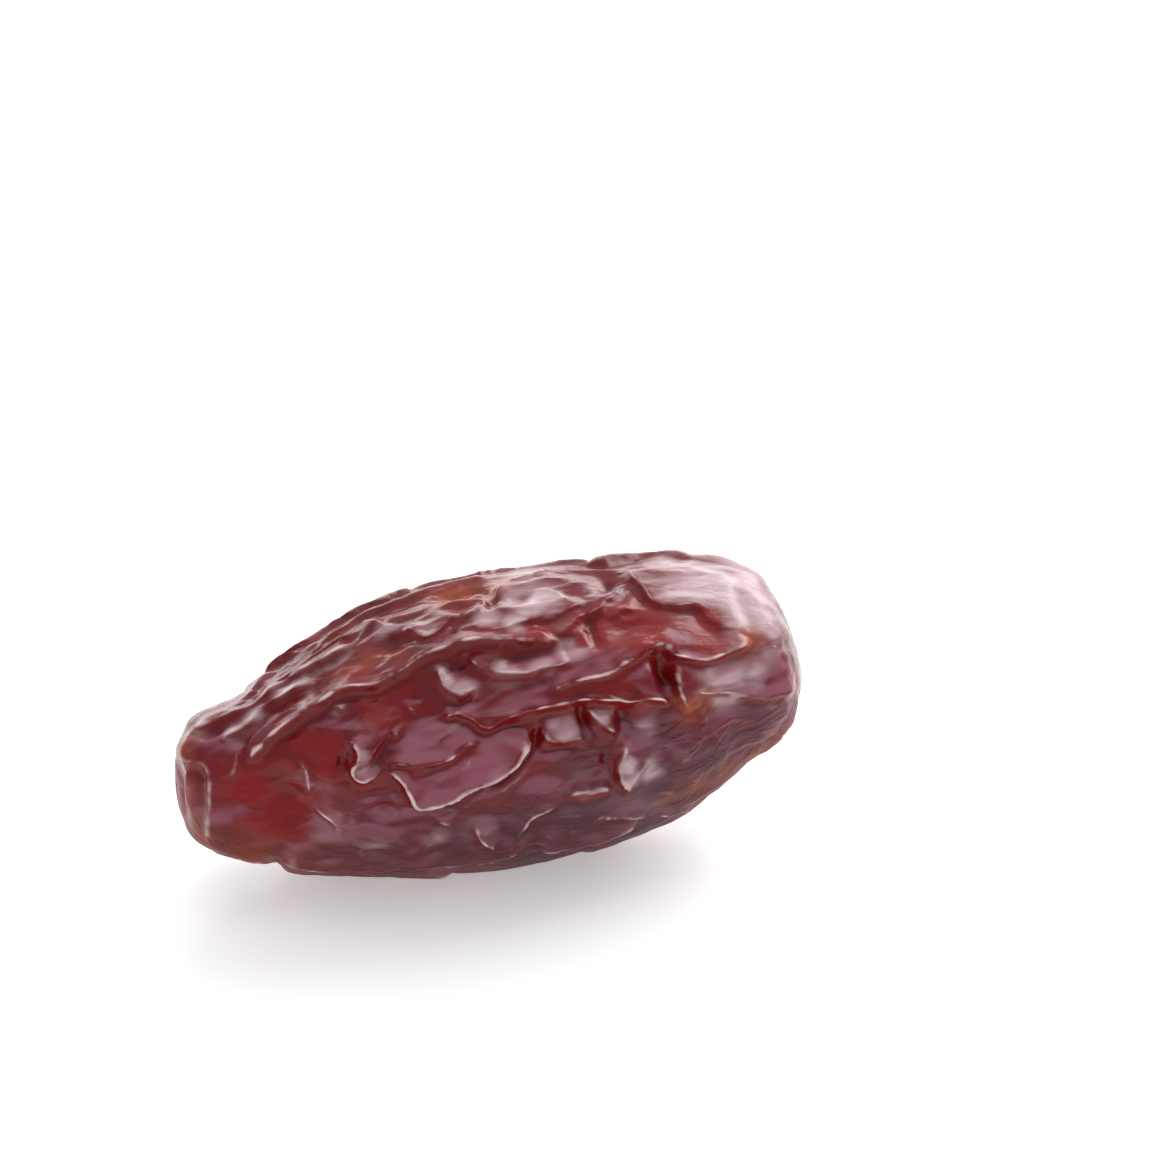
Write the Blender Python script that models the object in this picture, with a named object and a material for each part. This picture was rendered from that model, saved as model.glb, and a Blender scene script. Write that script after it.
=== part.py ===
"""A dried date: one soft, wrinkled fruit lying on its side.

The long axis runs along X, with the narrow stalk end at -X and the broad end at +X.
The fruit lies on a small flat spot that its weight has pressed, at z = 0.
A place on the skin is given as (x, turn): x in millimetres along the fruit, and turn
in degrees round it, with 0 at the front (-Y), 90 on top, 180 at the back, 270 below.
"""

import math

import bmesh
import bpy
import numpy as np
from mathutils import Vector, noise

MM = 0.001

# Driving sizes, in millimetres and degrees
LENGTH = 52.0
TILT = 6.0                # the broad end lies higher than the stalk end
PRESS = 0.5               # how far the weight has pressed the underside flat
RAIL_TURN = 28.0          # where round the fruit the first rail of its outline runs
CELLS = 50                # mesh cells across an end
CELLS_ALONG = 124         # mesh cells along the fruit
FRONT_SHARE = 0.35        # how much closer together the cells are at the front
FRONT_TURN = 40.0         # where round the fruit they are closest
FACES = 11600             # triangles left after the flat stretches are thinned

# The plump outline: how far four rails, a quarter turn apart, stand off the long axis
STATIONS = (-26.0, -25.3, -23.6, -20.0, -14.0, -7.0, 0.0, 7.0, 14.0, 19.0, 23.4, 26.0)
RAILS = (
    (0.0, 3.4, 4.9, 7.0, 9.5, 11.1, 11.5, 11.2, 10.4, 9.0, 6.7, 0.0),
    (0.0, 3.3, 4.9, 6.7, 9.3, 11.35, 11.75, 11.35, 10.4, 9.6, 7.1, 0.0),
    (0.0, 4.1, 5.4, 7.1, 9.5, 11.1, 11.5, 11.3, 10.5, 9.2, 6.8, 0.0),
    (0.0, 4.0, 5.7, 8.1, 9.6, 11.4, 12.4, 12.4, 11.2, 8.9, 6.3, 0.0),
)

# Shape across a fold: a long ramp, a thin lip along the crest, a short steep side
RAMP = 2.0                # length of the ramp, to the fold's width
RAMP_EASE = 1.3           # how gently the foot of the ramp starts
STEEP = 0.38
STEEP_EASE = 1.4          # how squarely the steep side drops from the crest
LIP = 0.12                # share of the height that the thin lip has
LIP_WIDTH = 0.25
ROUNDING = 0.10           # how far the crest itself is rounded
GROOVE = 0.45             # depth of the groove under the steep side, to the fold's height
GROOVE_WIDTH = 1.0
SHRINK = 0.75             # how far the skin between the folds has sunk
FULL_ENDS = (18.0, 24.0)  # the ends have not sunk: over this stretch the sinking fades out
JOINING = 4.0             # how sharply the highest of several folds wins over the others
REACH = 6.5               # folds are followed out to this far from their crest
FADE_OUT = 1.6            # the last stretch of that, over which they fade out
END_TAPER = 1.6
STEP = 0.12               # spacing of the points that a route is followed by
GATHER = 0.5              # how strongly the net's lines are drawn in to a crest
GATHER_REACH = 0.45       # and from about how far
GATHER_FAR = 1.1          # beyond this they are left alone
GATHER_MOST = 0.15        # the farthest that a line is drawn
EVEN_OUT = 2              # rounds of evening out, which take the saw teeth off the crests
WAVER = ((0.45, 4.0), (0.16, 1.5))       # how far folds waver, and over what spacing
NOISE_SEED = 5            # fixes the noise that the wavering and the wrinkles follow

# Width of a fold's rising side
THIN = 0.8
NARROW = 1.3
MEDIUM = 2.2
BROAD = 4.5

# Folds that show from the front. Each is (height, width, side, route): side is the hand
# that the steep side is on, going along the route (1 left, -1 right, seen from outside).
FRONT_FOLDS = (
    # The long fold that runs from the stalk end up over the middle
    (0.91, NARROW, -1, ((-20.9, 43), (-20.0, 41.5), (-18.7, 48.5), (-17.3, 54), (-15.0, 59),
                        (-12.3, 63.5), (-10.9, 60), (-9.3, 57.5), (-6.9, 60.5), (-4.8, 64),
                        (-1.3, 64.5), (1.2, 62), (3.4, 58), (4.8, 57), (5.8, 60))),
    (0.42, THIN, -1, ((5.2, 58), (6.5, 63), (8.3, 68.5), (9.7, 72), (11.3, 79.5), (12.4, 87))),
    # Folds over the shoulder of the stalk end
    (0.70, NARROW, -1, ((-24.2, 94), (-23.3, 87), (-22.5, 84), (-20.9, 83), (-18.8, 84), (-17.0, 88),
                        (-14.7, 88), (-12.4, 87), (-9.8, 87))),
    (0.66, NARROW, -1, ((-22.4, 63), (-20.4, 64), (-19.3, 69), (-18.4, 76), (-16.9, 76), (-15.4, 74),
                        (-14.4, 72), (-13.8, 75), (-13.2, 80))),
    (0.56, NARROW, -1, ((-20.9, 85), (-20.3, 90), (-19.3, 97), (-18.2, 105), (-17.2, 112), (-16.0, 116))),
    (0.49, THIN, -1, ((-15.6, 89), (-14.6, 94), (-13.4, 98), (-11.6, 98), (-10.4, 97), (-9.2, 101))),
    (0.49, THIN, 1, ((-9.6, 108), (-8.6, 103), (-7.8, 96), (-6.9, 91), (-6.0, 88))),
    (0.49, NARROW, -1, ((-14.5, 103), (-12.5, 105), (-10.5, 108), (-8.5, 112), (-6.5, 110), (-4.0, 111),
                        (-1.0, 113), (3.0, 113))),
    (0.52, MEDIUM, -1, ((-23.4, 33.5), (-21.8, 33.5), (-21.2, 40), (-20.8, 50), (-20.2, 58))),
    # Rim of the stalk end and the lip inside it
    (0.60, MEDIUM, -1, ((-23.5, 95), (-24.4, 86), (-25.0, 77), (-25.1, 66), (-24.6, 55), (-23.8, 46),
                        (-23.5, 32), (-23.7, 16), (-24.0, -4), (-24.2, -22), (-24.1, -36))),
    (0.42, THIN, -1, ((-25.0, 60), (-25.1, 50), (-25.4, 36), (-25.7, 15), (-25.8, -30))),
    # Facets along the top
    (0.59, NARROW, -1, ((-6.4, 87), (-5.6, 82), (-4.9, 76.5), (-4.1, 74), (-3.3, 76), (-2.5, 80),
                        (-1.7, 84), (-0.9, 88))),
    (0.42, THIN, 1, ((-3.1, 94), (-1.2, 94.5), (0.7, 93), (1.1, 88), (0.3, 83), (-0.8, 82), (-1.8, 82.5))),
    (0.42, NARROW, 1, ((1.7, 90), (2.3, 98), (3.0, 103), (4.3, 106), (6.0, 108), (8.4, 111))),
    (0.49, MEDIUM, -1, ((-1.8, 77), (-0.5, 72.5), (0.4, 70), (1.4, 68.5), (2.8, 69.5), (4.5, 70),
                        (6.5, 71.5), (8.2, 74.5), (9.2, 79))),
    (0.28, THIN, -1, ((2.8, 97), (4.3, 98), (6.0, 99), (8.0, 98), (9.3, 99))),
    # Lobes under the long fold
    (0.73, MEDIUM, -1, ((-4.7, 62), (-4.9, 56), (-4.9, 50.5), (-4.5, 46), (-3.7, 43.5), (-2.8, 43.5),
                        (-2.0, 39))),
    (0.66, MEDIUM, -1, ((-2.2, 61), (-1.6, 55), (-1.2, 52), (0.1, 49), (1.8, 45.5), (3.2, 45.5),
                        (5.0, 46), (6.6, 47))),
    (0.32, THIN, -1, ((-9.3, 70), (-9.2, 67), (-8.6, 64), (-7.9, 62))),
    (0.40, NARROW, -1, ((-13.3, 60), (-13.4, 56), (-12.9, 52), (-12.2, 51))),
    (0.36, NARROW, -1, ((-9.3, 39), (-9.4, 35), (-8.9, 32), (-8.0, 31))),
    (0.40, NARROW, -1, ((-7.6, 50), (-7.9, 45), (-7.3, 41), (-6.2, 40))),
    # The edge of the smooth broad shoulder, down to its point
    (0.49, BROAD, -1, ((13.2, 104), (13.4, 95), (13.7, 84.5), (14.0, 74), (14.7, 70), (17.0, 68.3),
                       (17.9, 63), (18.4, 54), (19.9, 50), (21.8, 47.5))),
    (0.32, THIN, -1, ((9.6, 65), (10.4, 67), (11.4, 68.5), (12.8, 67))),
    # The long ridge across the broad half, and the hollow cut under it
    (0.84, MEDIUM, -1, ((2.7, 36), (5.1, 36), (7.9, 37.5), (9.2, 39), (10.5, 42), (12.2, 46), (13.4, 47.5),
                        (14.1, 46), (14.8, 41), (15.8, 37.5), (17.0, 35.5), (18.2, 36), (19.4, 38),
                        (20.6, 41), (21.6, 44))),
    (0.77, MEDIUM, -1, ((14.8, 42), (14.5, 36), (14.3, 30), (14.2, 23.5), (14.3, 18), (14.8, 14))),
    (0.42, MEDIUM, -1, ((11.9, 23), (12.0, 31), (12.2, 38), (12.5, 44))),
    (0.24, THIN, -1, ((13.1, 40), (13.4, 36), (13.6, 31))),
    # The second long ridge, with the facets that hang from it
    (0.77, MEDIUM, -1, ((-4.5, 42), (-5.0, 36), (-4.3, 36), (-2.8, 30.5), (-1.5, 26.5), (0.3, 28.5),
                        (2.8, 30.5), (4.7, 30), (6.4, 29.3), (8.6, 27.8), (9.8, 24.5), (11.4, 23),
                        (12.7, 20), (13.7, 15.5))),
    (0.63, NARROW, -1, ((2.6, 28), (2.4, 20), (3.2, 16), (5.0, 14), (6.1, 12))),
    (0.59, THIN, -1, ((6.4, 28), (6.9, 20.7), (7.8, 14.8), (9.3, 11))),
    # Ridges that run together at the broad end
    (0.52, MEDIUM, -1, ((14.8, 24.5), (16.6, 20.5), (18.5, 14.6), (20.3, 9), (22.0, 4.6), (24.2, 0))),
    (0.28, THIN, -1, ((14.2, 16.6), (15.2, 16.5), (16.4, 15.5))),
    (0.24, NARROW, -1, ((16.8, 29), (18.5, 25.5), (20.5, 22), (22.5, 18), (24.5, 17))),
    (0.35, MEDIUM, -1, ((13.2, -9), (15.4, -2), (16.6, 1), (17.6, 2), (18.5, 1), (19.8, -5), (21.0, -13),
                        (22.6, -24))),
    (0.56, MEDIUM, 1, ((24.2, -48), (22.6, -34), (21.2, -25), (19.4, -19.5), (17.4, -18), (15.2, -20),
                       (12.8, -24))),
    # Lobes low on the front
    (1.33, MEDIUM, -1, ((-13.3, 37), (-12.6, 33.5), (-12.3, 30), (-12.4, 25), (-13.0, 21), (-12.9, 17.5),
                        (-12.2, 16), (-11.3, 17.3), (-10.4, 20))),
    (0.88, NARROW, -1, ((-10.2, 19), (-9.4, 20.5), (-8.4, 18.9), (-7.0, 17.5), (-5.5, 17.8), (-4.2, 20),
                        (-3.0, 21.5), (-1.8, 20.5))),
    (1.52, MEDIUM, -1, ((-9.9, 20), (-9.9, 17), (-9.4, 12.5), (-8.9, 6), (-8.5, 1), (-7.3, 0.5),
                        (-5.0, 3.5), (-3.2, 7), (-1.0, 8.5), (0.4, 14), (1.4, 22))),
    (0.95, MEDIUM, -1, ((9.2, 12), (8.8, 5.5), (8.2, 0), (7.9, -5), (8.2, -12), (9.0, -17))),
    (0.51, THIN, -1, ((9.9, 6), (9.9, 0), (10.1, -6), (10.4, -12))),
    (0.95, NARROW, -1, ((-4.0, -10), (-4.4, -16), (-4.0, -21), (-3.1, -27), (-2.0, -31))),
    (0.75, NARROW, 1, ((3.0, -11), (4.2, -7.5), (5.9, -8.5), (7.0, -11), (7.6, -16))),
    (0.75, NARROW, -1, ((-1.2, -40), (-1.2, -32), (-0.6, -22), (0.4, -15), (1.9, -12), (3.2, -14))),
    (0.82, NARROW, -1, ((4.6, -24), (6.2, -25), (8.0, -28), (9.6, -31.5), (11.2, -35), (13.0, -41),
                        (15.0, -50))),
    (0.64, THIN, -1, ((2.0, -46), (3.6, -46), (5.4, -48), (7.2, -52))),
    (0.57, THIN, -1, ((-7.6, -10), (-6.6, -12), (-5.4, -14))),
    (0.64, THIN, -1, ((-8.8, -31), (-8.2, -27), (-7.5, -22), (-7.1, -18))),
    (0.57, MEDIUM, -1, ((-14.0, 2), (-13.3, 7), (-12.0, 10.5), (-10.6, 11), (-9.9, 9))),
    (0.64, MEDIUM, -1, ((-17.4, 4), (-16.2, -1), (-15.2, -7), (-14.7, -18))),
    (0.51, MEDIUM, 1, ((-17.0, 36), (-16.5, 26), (-16.6, 15), (-17.2, 6))),
    (0.64, MEDIUM, -1, ((-18.6, -38), (-17.8, -33), (-17.2, -38), (-16.4, -46))),
    (0.64, NARROW, 1, ((-13.9, -34), (-12.4, -30), (-10.8, -34), (-9.6, -42))),
)

# Creases: a depth and the route that it follows
CREASES = (
    (0.50, ((-1.2, 106), (1.3, 103), (2.0, 96), (1.6, 88), (0.6, 80))),
    (0.70, ((2.5, 28), (2.3, 24), (1.75, 20), (0.7, 13), (-0.6, 7), (-1.9, 4.5), (-3.7, 3.5))),
    (0.60, ((6.1, 27), (6.1, 20), (6.2, 14))),
    (0.55, ((-13.3, 33), (-13.6, 27), (-13.9, 21), (-13.6, 16))),
    (0.45, ((-10.4, 15), (-10.0, 9), (-9.6, 4), (-8.6, -2))),
    (0.35, ((15.2, 23), (17.0, 20), (18.5, 16.5), (20.5, 14))),
    (0.45, ((-12.4, 1.5), (-10.9, 0.8), (-9.5, 1.2))),
    (0.40, ((-15.0, -7), (-14.2, -5), (-13.4, -7))),
)
CREASE_WIDTH = 0.5

# Hollows between the folds: (depth, x, turn, reach along, reach round)
HOLLOWS = (
    (1.60, 13.3, 32, 0.95, 2.1),
    (0.80, 2.4, 54, 1.9, 0.9),
    (0.70, -3.4, 57, 1.1, 0.8),
    (0.90, 6.0, 22, 0.5, 1.5),
    (0.90, 9.4, 19, 0.7, 1.7),
    (0.70, 11.3, 92, 0.9, 1.6),
    (0.60, 8.6, 61, 0.5, 1.7),
    (0.35, 3.8, 88, 1.0, 1.0),
    (0.50, -0.6, 104, 2.0, 0.9),
    (0.45, -16.3, 93, 1.0, 0.9),
    (0.50, -7.6, 80, 1.2, 1.0),
    (0.60, -18.8, 14, 1.8, 3.2),
    (0.50, -7.2, 45, 1.6, 2.2),
    (0.45, 12.5, 60, 3.0, 1.0),
    (0.40, 7.4, 0, 0.7, 2.0),
    (1.30, -26.0, 0, 1.6, 2.9),
)

# Stretches that stay smooth: (x, turn, reach)
SMOOTH_SPOTS = (
    (19.0, 80, 7.0),
    (16.0, 60, 3.5),
    (5.0, 82, 3.5),
    (-19.5, 12, 4.0),
)

# Small folds scattered low on the front and over the hidden side: seed, how many, and
# the stretch round the fruit that they lie on
SMALL_FOLDS = (
    (23, 34, (-62.0, 30.0)),
    (5, 30, (112.0, 298.0)),
)
SMALL_X = (-21.0, 21.0)
SMALL_HEIGHT = (0.22, 0.42)
SMALL_LENGTH = (2.0, 4.5)

# Small wrinkles all over, longer along the fruit than across it
WRINKLES = ((0.20, 2.6), (0.09, 1.2))    # height and spacing
WRINKLE_STRETCH = 2.3

# Broad, shallow dents all over: waves in seeded directions
DENT_SEED = 7
DENT_WAVES = 14
DENT_DEPTH = 0.085
DENT_PITCH = (0.16, 0.34, 0.34)

# The hidden side: folds follow lanes along the fruit, short links cross between the
# lanes, and at both ends folds run together
LANE_SEED = 41
LANE_FIRST = 122.0
LANE_LAST = 316.0
LANES = 10
LANE_SPAN = (-20.5, 22.5)
LANE_HEIGHT = (0.5, 0.95)
LANE_LENGTH = (8.0, 17.0)
LANE_STEP = 2.2           # spacing of the places that a lane's fold runs through
LANE_SWAY = 5.0           # how far a fold's start strays from its lane, in degrees
LANE_DRIFT = 2.2          # how far a lane's fold wanders from step to step, in degrees
LANE_HOOK = (5.0, 14.0)   # how far a fold's last quarter hooks aside, in degrees
LINKS = 16
LINK_HEIGHT = (0.4, 0.7)
END_FOLDS = ((-24.6, -18.5), (24.9, 17.5))
END_HEIGHT = (0.3, 0.55)
END_DRIFT = 4.0           # how far these wander from step to step, in degrees

# The leathery skin
SKIN_COLOUR = (0.165, 0.030, 0.026, 1.0)
SKIN_ROUGHNESS = 0.36


def clear_scene():
    """Remove everything that the scene holds."""
    for thing in list(bpy.data.objects):
        bpy.data.objects.remove(thing, do_unlink=True)


def smooth_step(value):
    """Ease from 0 to 1 as the value does."""
    t = np.clip(value, 0.0, 1.0)
    return t * t * (3.0 - 2.0 * t)


def smooth_line(stations, values, x):
    """Read a smooth curve through the stations, as steep as a round end at each tip."""
    stations = np.asarray(stations)
    slope = np.empty_like(values)
    slope[1:-1] = (values[2:] - values[:-2]) / (stations[2:] - stations[:-2])
    slope[0] = 2.0 * (values[1] - values[0]) / (stations[1] - stations[0]) - slope[1]
    slope[-1] = 2.0 * (values[-1] - values[-2]) / (stations[-1] - stations[-2]) - slope[-2]
    span = np.clip(np.searchsorted(stations, x) - 1, 0, len(stations) - 2)
    width = stations[span + 1] - stations[span]
    t = (x - stations[span]) / width
    return (
        (2 * t**3 - 3 * t**2 + 1) * values[span]
        + (t**3 - 2 * t**2 + t) * width * slope[span]
        + (3 * t**2 - 2 * t**3) * values[span + 1]
        + (t**3 - t**2) * width * slope[span + 1]
    )


def girth(x, turn):
    """Radius of the plump outline at places on the skin."""
    total = 0.0
    for index, rail in enumerate(RAILS):
        off = np.radians((turn - RAIL_TURN - 90.0 * index + 180.0) % 360.0 - 180.0)
        share = np.where(np.abs(off) < math.pi / 2, np.cos(off) ** 2, 0.0)
        squares = np.square(np.asarray(rail))
        total = total + share * np.maximum(smooth_line(STATIONS, squares, x), 0.0)
    return np.sqrt(total)


def plump(x, turn):
    """Points of the plump outline, before any fold."""
    radius = girth(x, turn)
    angle = np.radians(turn)
    return np.stack((x, -radius * np.cos(angle), radius * np.sin(angle)), axis=-1)


def outward(x, turn):
    """Directions square to the plump outline."""
    small = 0.05
    inner = np.clip(x, -LENGTH / 2 + small, LENGTH / 2 - small)
    along = plump(inner + small, turn) - plump(inner - small, turn)
    round_about = plump(inner, turn + 0.5) - plump(inner, turn - 0.5)
    normal = np.cross(along, round_about)
    normal[..., 0] += np.sign(x) * 1e-9
    size = np.linalg.norm(normal, axis=-1, keepdims=True)
    tip = (np.abs(x) > LENGTH / 2 - small)[..., None]
    ends = np.stack((np.sign(x), np.zeros_like(x), np.zeros_like(x)), axis=-1)
    return np.where(tip, ends, normal / size)


def follow(route):
    """A smooth line over the skin through a route's places, at an even step."""
    places = np.array(route, dtype=float)
    ends = (2 * places[:1] - places[1:2], places, 2 * places[-1:] - places[-2:-1])
    knots = np.concatenate(ends)
    t = np.linspace(0.0, 1.0, 40, endpoint=False)[:, None]
    runs = []
    for a, b, c, d in zip(knots, knots[1:], knots[2:], knots[3:]):
        bend = 2 * a - 5 * b + 4 * c - d
        twist = 3 * b - a - 3 * c + d
        runs.append((2 * b + (c - a) * t + bend * t**2 + twist * t**3) / 2)
    fine = np.concatenate(runs + [places[-1:]])
    points = plump(fine[:, 0], fine[:, 1])
    gaps = np.linalg.norm(np.diff(points, axis=0), axis=1)
    travelled = np.concatenate(([0.0], np.cumsum(gaps)))
    steps = np.arange(0.0, travelled[-1], STEP)
    x = np.interp(steps, travelled, fine[:, 0])
    turn = np.interp(steps, travelled, fine[:, 1])
    return x, turn, steps


def offset_from(route, skin, reach):
    """For skin points near a route: which they are, how far to its left, how faded towards
    its ends, and the way left."""
    x, turn, steps = follow(route)
    line = plump(x, turn)
    ahead = np.gradient(line, axis=0)
    ahead /= np.linalg.norm(ahead, axis=1, keepdims=True)
    left = np.cross(outward(x, turn), ahead)
    low = line.min(axis=0) - reach
    high = line.max(axis=0) + reach
    near = np.flatnonzero(np.all((skin > low) & (skin < high), axis=1))
    nearest = np.zeros(len(near), dtype=int)
    for start in range(0, len(near), 4000):
        block = skin[near[start:start + 4000]]
        apart = ((block[:, None] - line[None]) ** 2).sum(axis=2)
        nearest[start:start + 4000] = apart.argmin(axis=1)
    gap = skin[near] - line[nearest]
    sideways = (gap * left[nearest]).sum(axis=1)
    distance = np.linalg.norm(gap, axis=1)
    sideways = np.where(sideways < 0.0, -distance, distance)
    taper = min(END_TAPER, 0.45 * steps[-1])
    along = steps[nearest]
    fade = smooth_step(along / taper) * smooth_step((steps[-1] - along) / taper)
    return near, sideways, fade, left[nearest]


def lane_folds(rng):
    """Hooked, wandering ridges, one after another along each lane of the hidden side."""
    folds = []
    for lane in np.linspace(LANE_FIRST, LANE_LAST, LANES):
        x = LANE_SPAN[0] + rng.uniform(0.0, 3.0)
        while x < LANE_SPAN[1] - 4.0:
            length = rng.uniform(*LANE_LENGTH)
            count = int(length / LANE_STEP) + 2
            part = np.linspace(0.0, 1.0, count)
            drift = np.cumsum(rng.normal(0.0, LANE_DRIFT, count))
            hook = rng.choice((-1.0, 1.0)) * rng.uniform(*LANE_HOOK)
            hook = hook * np.clip(part * 4.0 - 3.0, 0.0, 1.0)
            xs = np.minimum(x + part * length, LANE_SPAN[1])
            turns = lane + rng.uniform(-LANE_SWAY, LANE_SWAY) + drift - drift.mean() + hook
            width = rng.choice((NARROW, MEDIUM, BROAD))
            side = int(rng.choice((-1, 1)))
            folds.append((rng.uniform(*LANE_HEIGHT), width, side, tuple(zip(xs, turns))))
            x += length - rng.uniform(-1.5, 2.0)
    return folds


def link_folds(rng):
    """Short folds that cross from one lane to the next."""
    folds = []
    spacing = (LANE_LAST - LANE_FIRST) / (LANES - 1)
    part = np.linspace(0.0, 1.0, 4)
    for _ in range(LINKS):
        xs = rng.uniform(-18.0, 18.0) + rng.uniform(-2.5, 2.5) * part + rng.normal(0.0, 0.5, 4)
        turns = rng.uniform(LANE_FIRST, LANE_LAST - spacing) + spacing * part
        side = int(rng.choice((-1, 1)))
        folds.append((rng.uniform(*LINK_HEIGHT), NARROW, side, tuple(zip(xs, turns))))
    return folds


def end_folds(rng):
    """Folds that run together at the two ends of the hidden side."""
    folds = []
    for first, last in END_FOLDS:
        for lane in np.linspace(LANE_FIRST + 6.0, LANE_LAST - 6.0, LANES - 3):
            xs = np.linspace(first, last + rng.uniform(-2.0, 2.0), 5)
            turns = lane + rng.uniform(-LANE_SWAY, LANE_SWAY) + np.cumsum(rng.normal(0.0, END_DRIFT, 5))
            side = int(rng.choice((-1, 1)))
            folds.append((rng.uniform(*END_HEIGHT), MEDIUM, side, tuple(zip(xs, turns))))
    return folds


def small_folds(seed, count, stretch):
    """Short, low, wandering folds, most of them along the fruit."""
    rng = np.random.default_rng(seed)
    folds = []
    for _ in range(count):
        length = rng.uniform(*SMALL_LENGTH)
        slant = rng.normal(0.0, 4.0)
        part = np.linspace(-0.5, 0.5, 4)
        xs = rng.uniform(*SMALL_X) + part * length
        turns = rng.uniform(*stretch) + part * length * slant + rng.normal(0.0, 1.6, 4)
        side = int(rng.choice((-1, -1, 1)))
        folds.append((rng.uniform(*SMALL_HEIGHT), THIN, side, tuple(zip(xs, turns))))
    return folds


def all_folds():
    """Every fold of the fruit: those of the front, then those of the hidden side."""
    folds = list(FRONT_FOLDS)
    for seed, count, stretch in SMALL_FOLDS:
        folds += small_folds(seed, count, stretch)
    rng = np.random.default_rng(LANE_SEED)
    return folds + lane_folds(rng) + link_folds(rng) + end_folds(rng)


def waver(skin):
    """The places moved a little this way and that, so that folds do not run too evenly."""
    noise.seed_set(NOISE_SEED)
    moved = skin.copy()
    for reach, spacing in WAVER:
        for index, place in enumerate(skin):
            moved[index] += reach * np.array(noise.noise_vector(Vector(place) / spacing))
    return moved


def fold_profile(steep_way, width):
    """Height across a fold: a ramp up to a thin lip, then a steep face and a groove."""
    up = np.hypot(np.maximum(-steep_way, 0.0), ROUNDING) - ROUNDING
    down = np.maximum(steep_way, 0.0)
    lip = LIP * min(1.0, MEDIUM / width) ** 2
    ramp = np.maximum(1.0 - up / (RAMP * width), 0.0) ** RAMP_EASE
    rise = (1.0 - lip) * ramp + lip * np.exp(-up / LIP_WIDTH)
    face = (1.0 + GROOVE) * np.exp(-((down / STEEP) ** STEEP_EASE))
    groove = GROOVE * np.exp(-((down / GROOVE_WIDTH) ** 2))
    return np.where(steep_way < 0.0, rise, face - groove)


def relief(skin, folds):
    """What the folds, creases and hollows add: how far the skin is raised, and how far sunk."""
    raised = np.zeros(len(skin))
    sunk = np.zeros(len(skin))
    for height, width, side, route in folds:
        near, sideways, fade, _ = offset_from(route, skin, REACH)
        edge = smooth_step((REACH - np.abs(sideways)) / FADE_OUT)
        profile = height * fade * edge * fold_profile(sideways * side, width)
        raised[near] += np.maximum(profile, 0.0) ** JOINING
        sunk[near] = np.maximum(sunk[near], -profile)
    for depth, route in CREASES:
        near, sideways, fade, _ = offset_from(route, skin, 4.0 * CREASE_WIDTH)
        cut = depth * fade * np.exp(-((sideways / CREASE_WIDTH) ** 2))
        sunk[near] = np.maximum(sunk[near], cut)
    for depth, x, turn, along, around in HOLLOWS:
        place = plump(np.array([float(x)]), np.array([float(turn)]))[0]
        off = skin - place
        across = np.square(off[:, 1]) + np.square(off[:, 2])
        dip = depth * np.exp(-np.square(off[:, 0] / along) - across / around**2)
        sunk = np.hypot(sunk, dip)
    return raised ** (1.0 / JOINING), sunk


def gather(skin, folds):
    """Draw points of the plump outline in to the crests, so that the lips come out crisp."""
    drawn = np.zeros_like(skin)
    moved = waver(skin)
    for _, _, _, route in folds:
        near, sideways, fade, left = offset_from(route, moved, GATHER_FAR)
        pull = -GATHER * sideways * np.exp(-((sideways / GATHER_REACH) ** 2)) * fade
        drawn[near] += left * pull[:, None]
    size = np.linalg.norm(drawn, axis=1, keepdims=True)
    return skin + drawn * np.minimum(1.0, GATHER_MOST / np.maximum(size, 1e-9))


def wrinkles(skin):
    """Small wrinkles: ridged noise, stretched along the fruit and bent here and there."""
    noise.seed_set(NOISE_SEED)
    total = np.zeros(len(skin))
    for height, spacing in WRINKLES:
        scale = Vector((1.0 / (WRINKLE_STRETCH * spacing), 1.0 / spacing, 1.0 / spacing))
        for index, place in enumerate(skin):
            spot = Vector(place) * scale
            bent = spot + 0.45 * noise.noise_vector(spot * 0.6)
            total[index] += height * (0.4 - 2.0 * abs(noise.noise(bent)))
    for x, turn, reach in SMOOTH_SPOTS:
        off = skin - plump(np.array([float(x)]), np.array([float(turn)]))[0]
        total *= 1.0 - 0.8 * np.exp(-np.square(off).sum(axis=1) / reach**2)
    return total


def slack(skin):
    """Broad, shallow dents where the flesh has shrunk under the skin."""
    rng = np.random.default_rng(DENT_SEED)
    total = np.zeros(len(skin))
    for _ in range(DENT_WAVES):
        wave = rng.normal(0.0, 1.0, 3) * DENT_PITCH
        total += np.sin(skin @ wave + rng.uniform(0.0, 2 * math.pi))
    return DENT_DEPTH * total


def lay_down(points):
    """Tilt the fruit as it lies and set its pressed underside on z = 0."""
    tilt = math.radians(TILT)
    turned = points.copy()
    turned[:, 0] = points[:, 0] * math.cos(tilt) - points[:, 2] * math.sin(tilt)
    turned[:, 2] = points[:, 0] * math.sin(tilt) + points[:, 2] * math.cos(tilt)
    return turned


def rest_height():
    """How far the tilted fruit rises so that PRESS of its underside is flattened."""
    x, turn = np.meshgrid(np.linspace(-20.0, 20.0, 200), np.linspace(240.0, 300.0, 61))
    under = lay_down(plump(x.ravel(), turn.ravel()))
    return -under[:, 2].min() - PRESS


def box_net(across, along):
    """A closed net of even cells: a cube split finely, and more finely along X."""
    net = bmesh.new()
    bmesh.ops.create_cube(net, size=2.0)
    for axis, count in ((0, along), (1, across), (2, across)):
        edges = []
        for edge in net.edges:
            reach = edge.verts[1].co - edge.verts[0].co
            if abs(reach[axis]) > 0.5 * reach.length:
                edges.append(edge)
        bmesh.ops.subdivide_edges(net, edges=edges, cuts=count - 1, use_grid_fill=True)
    return net


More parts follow.
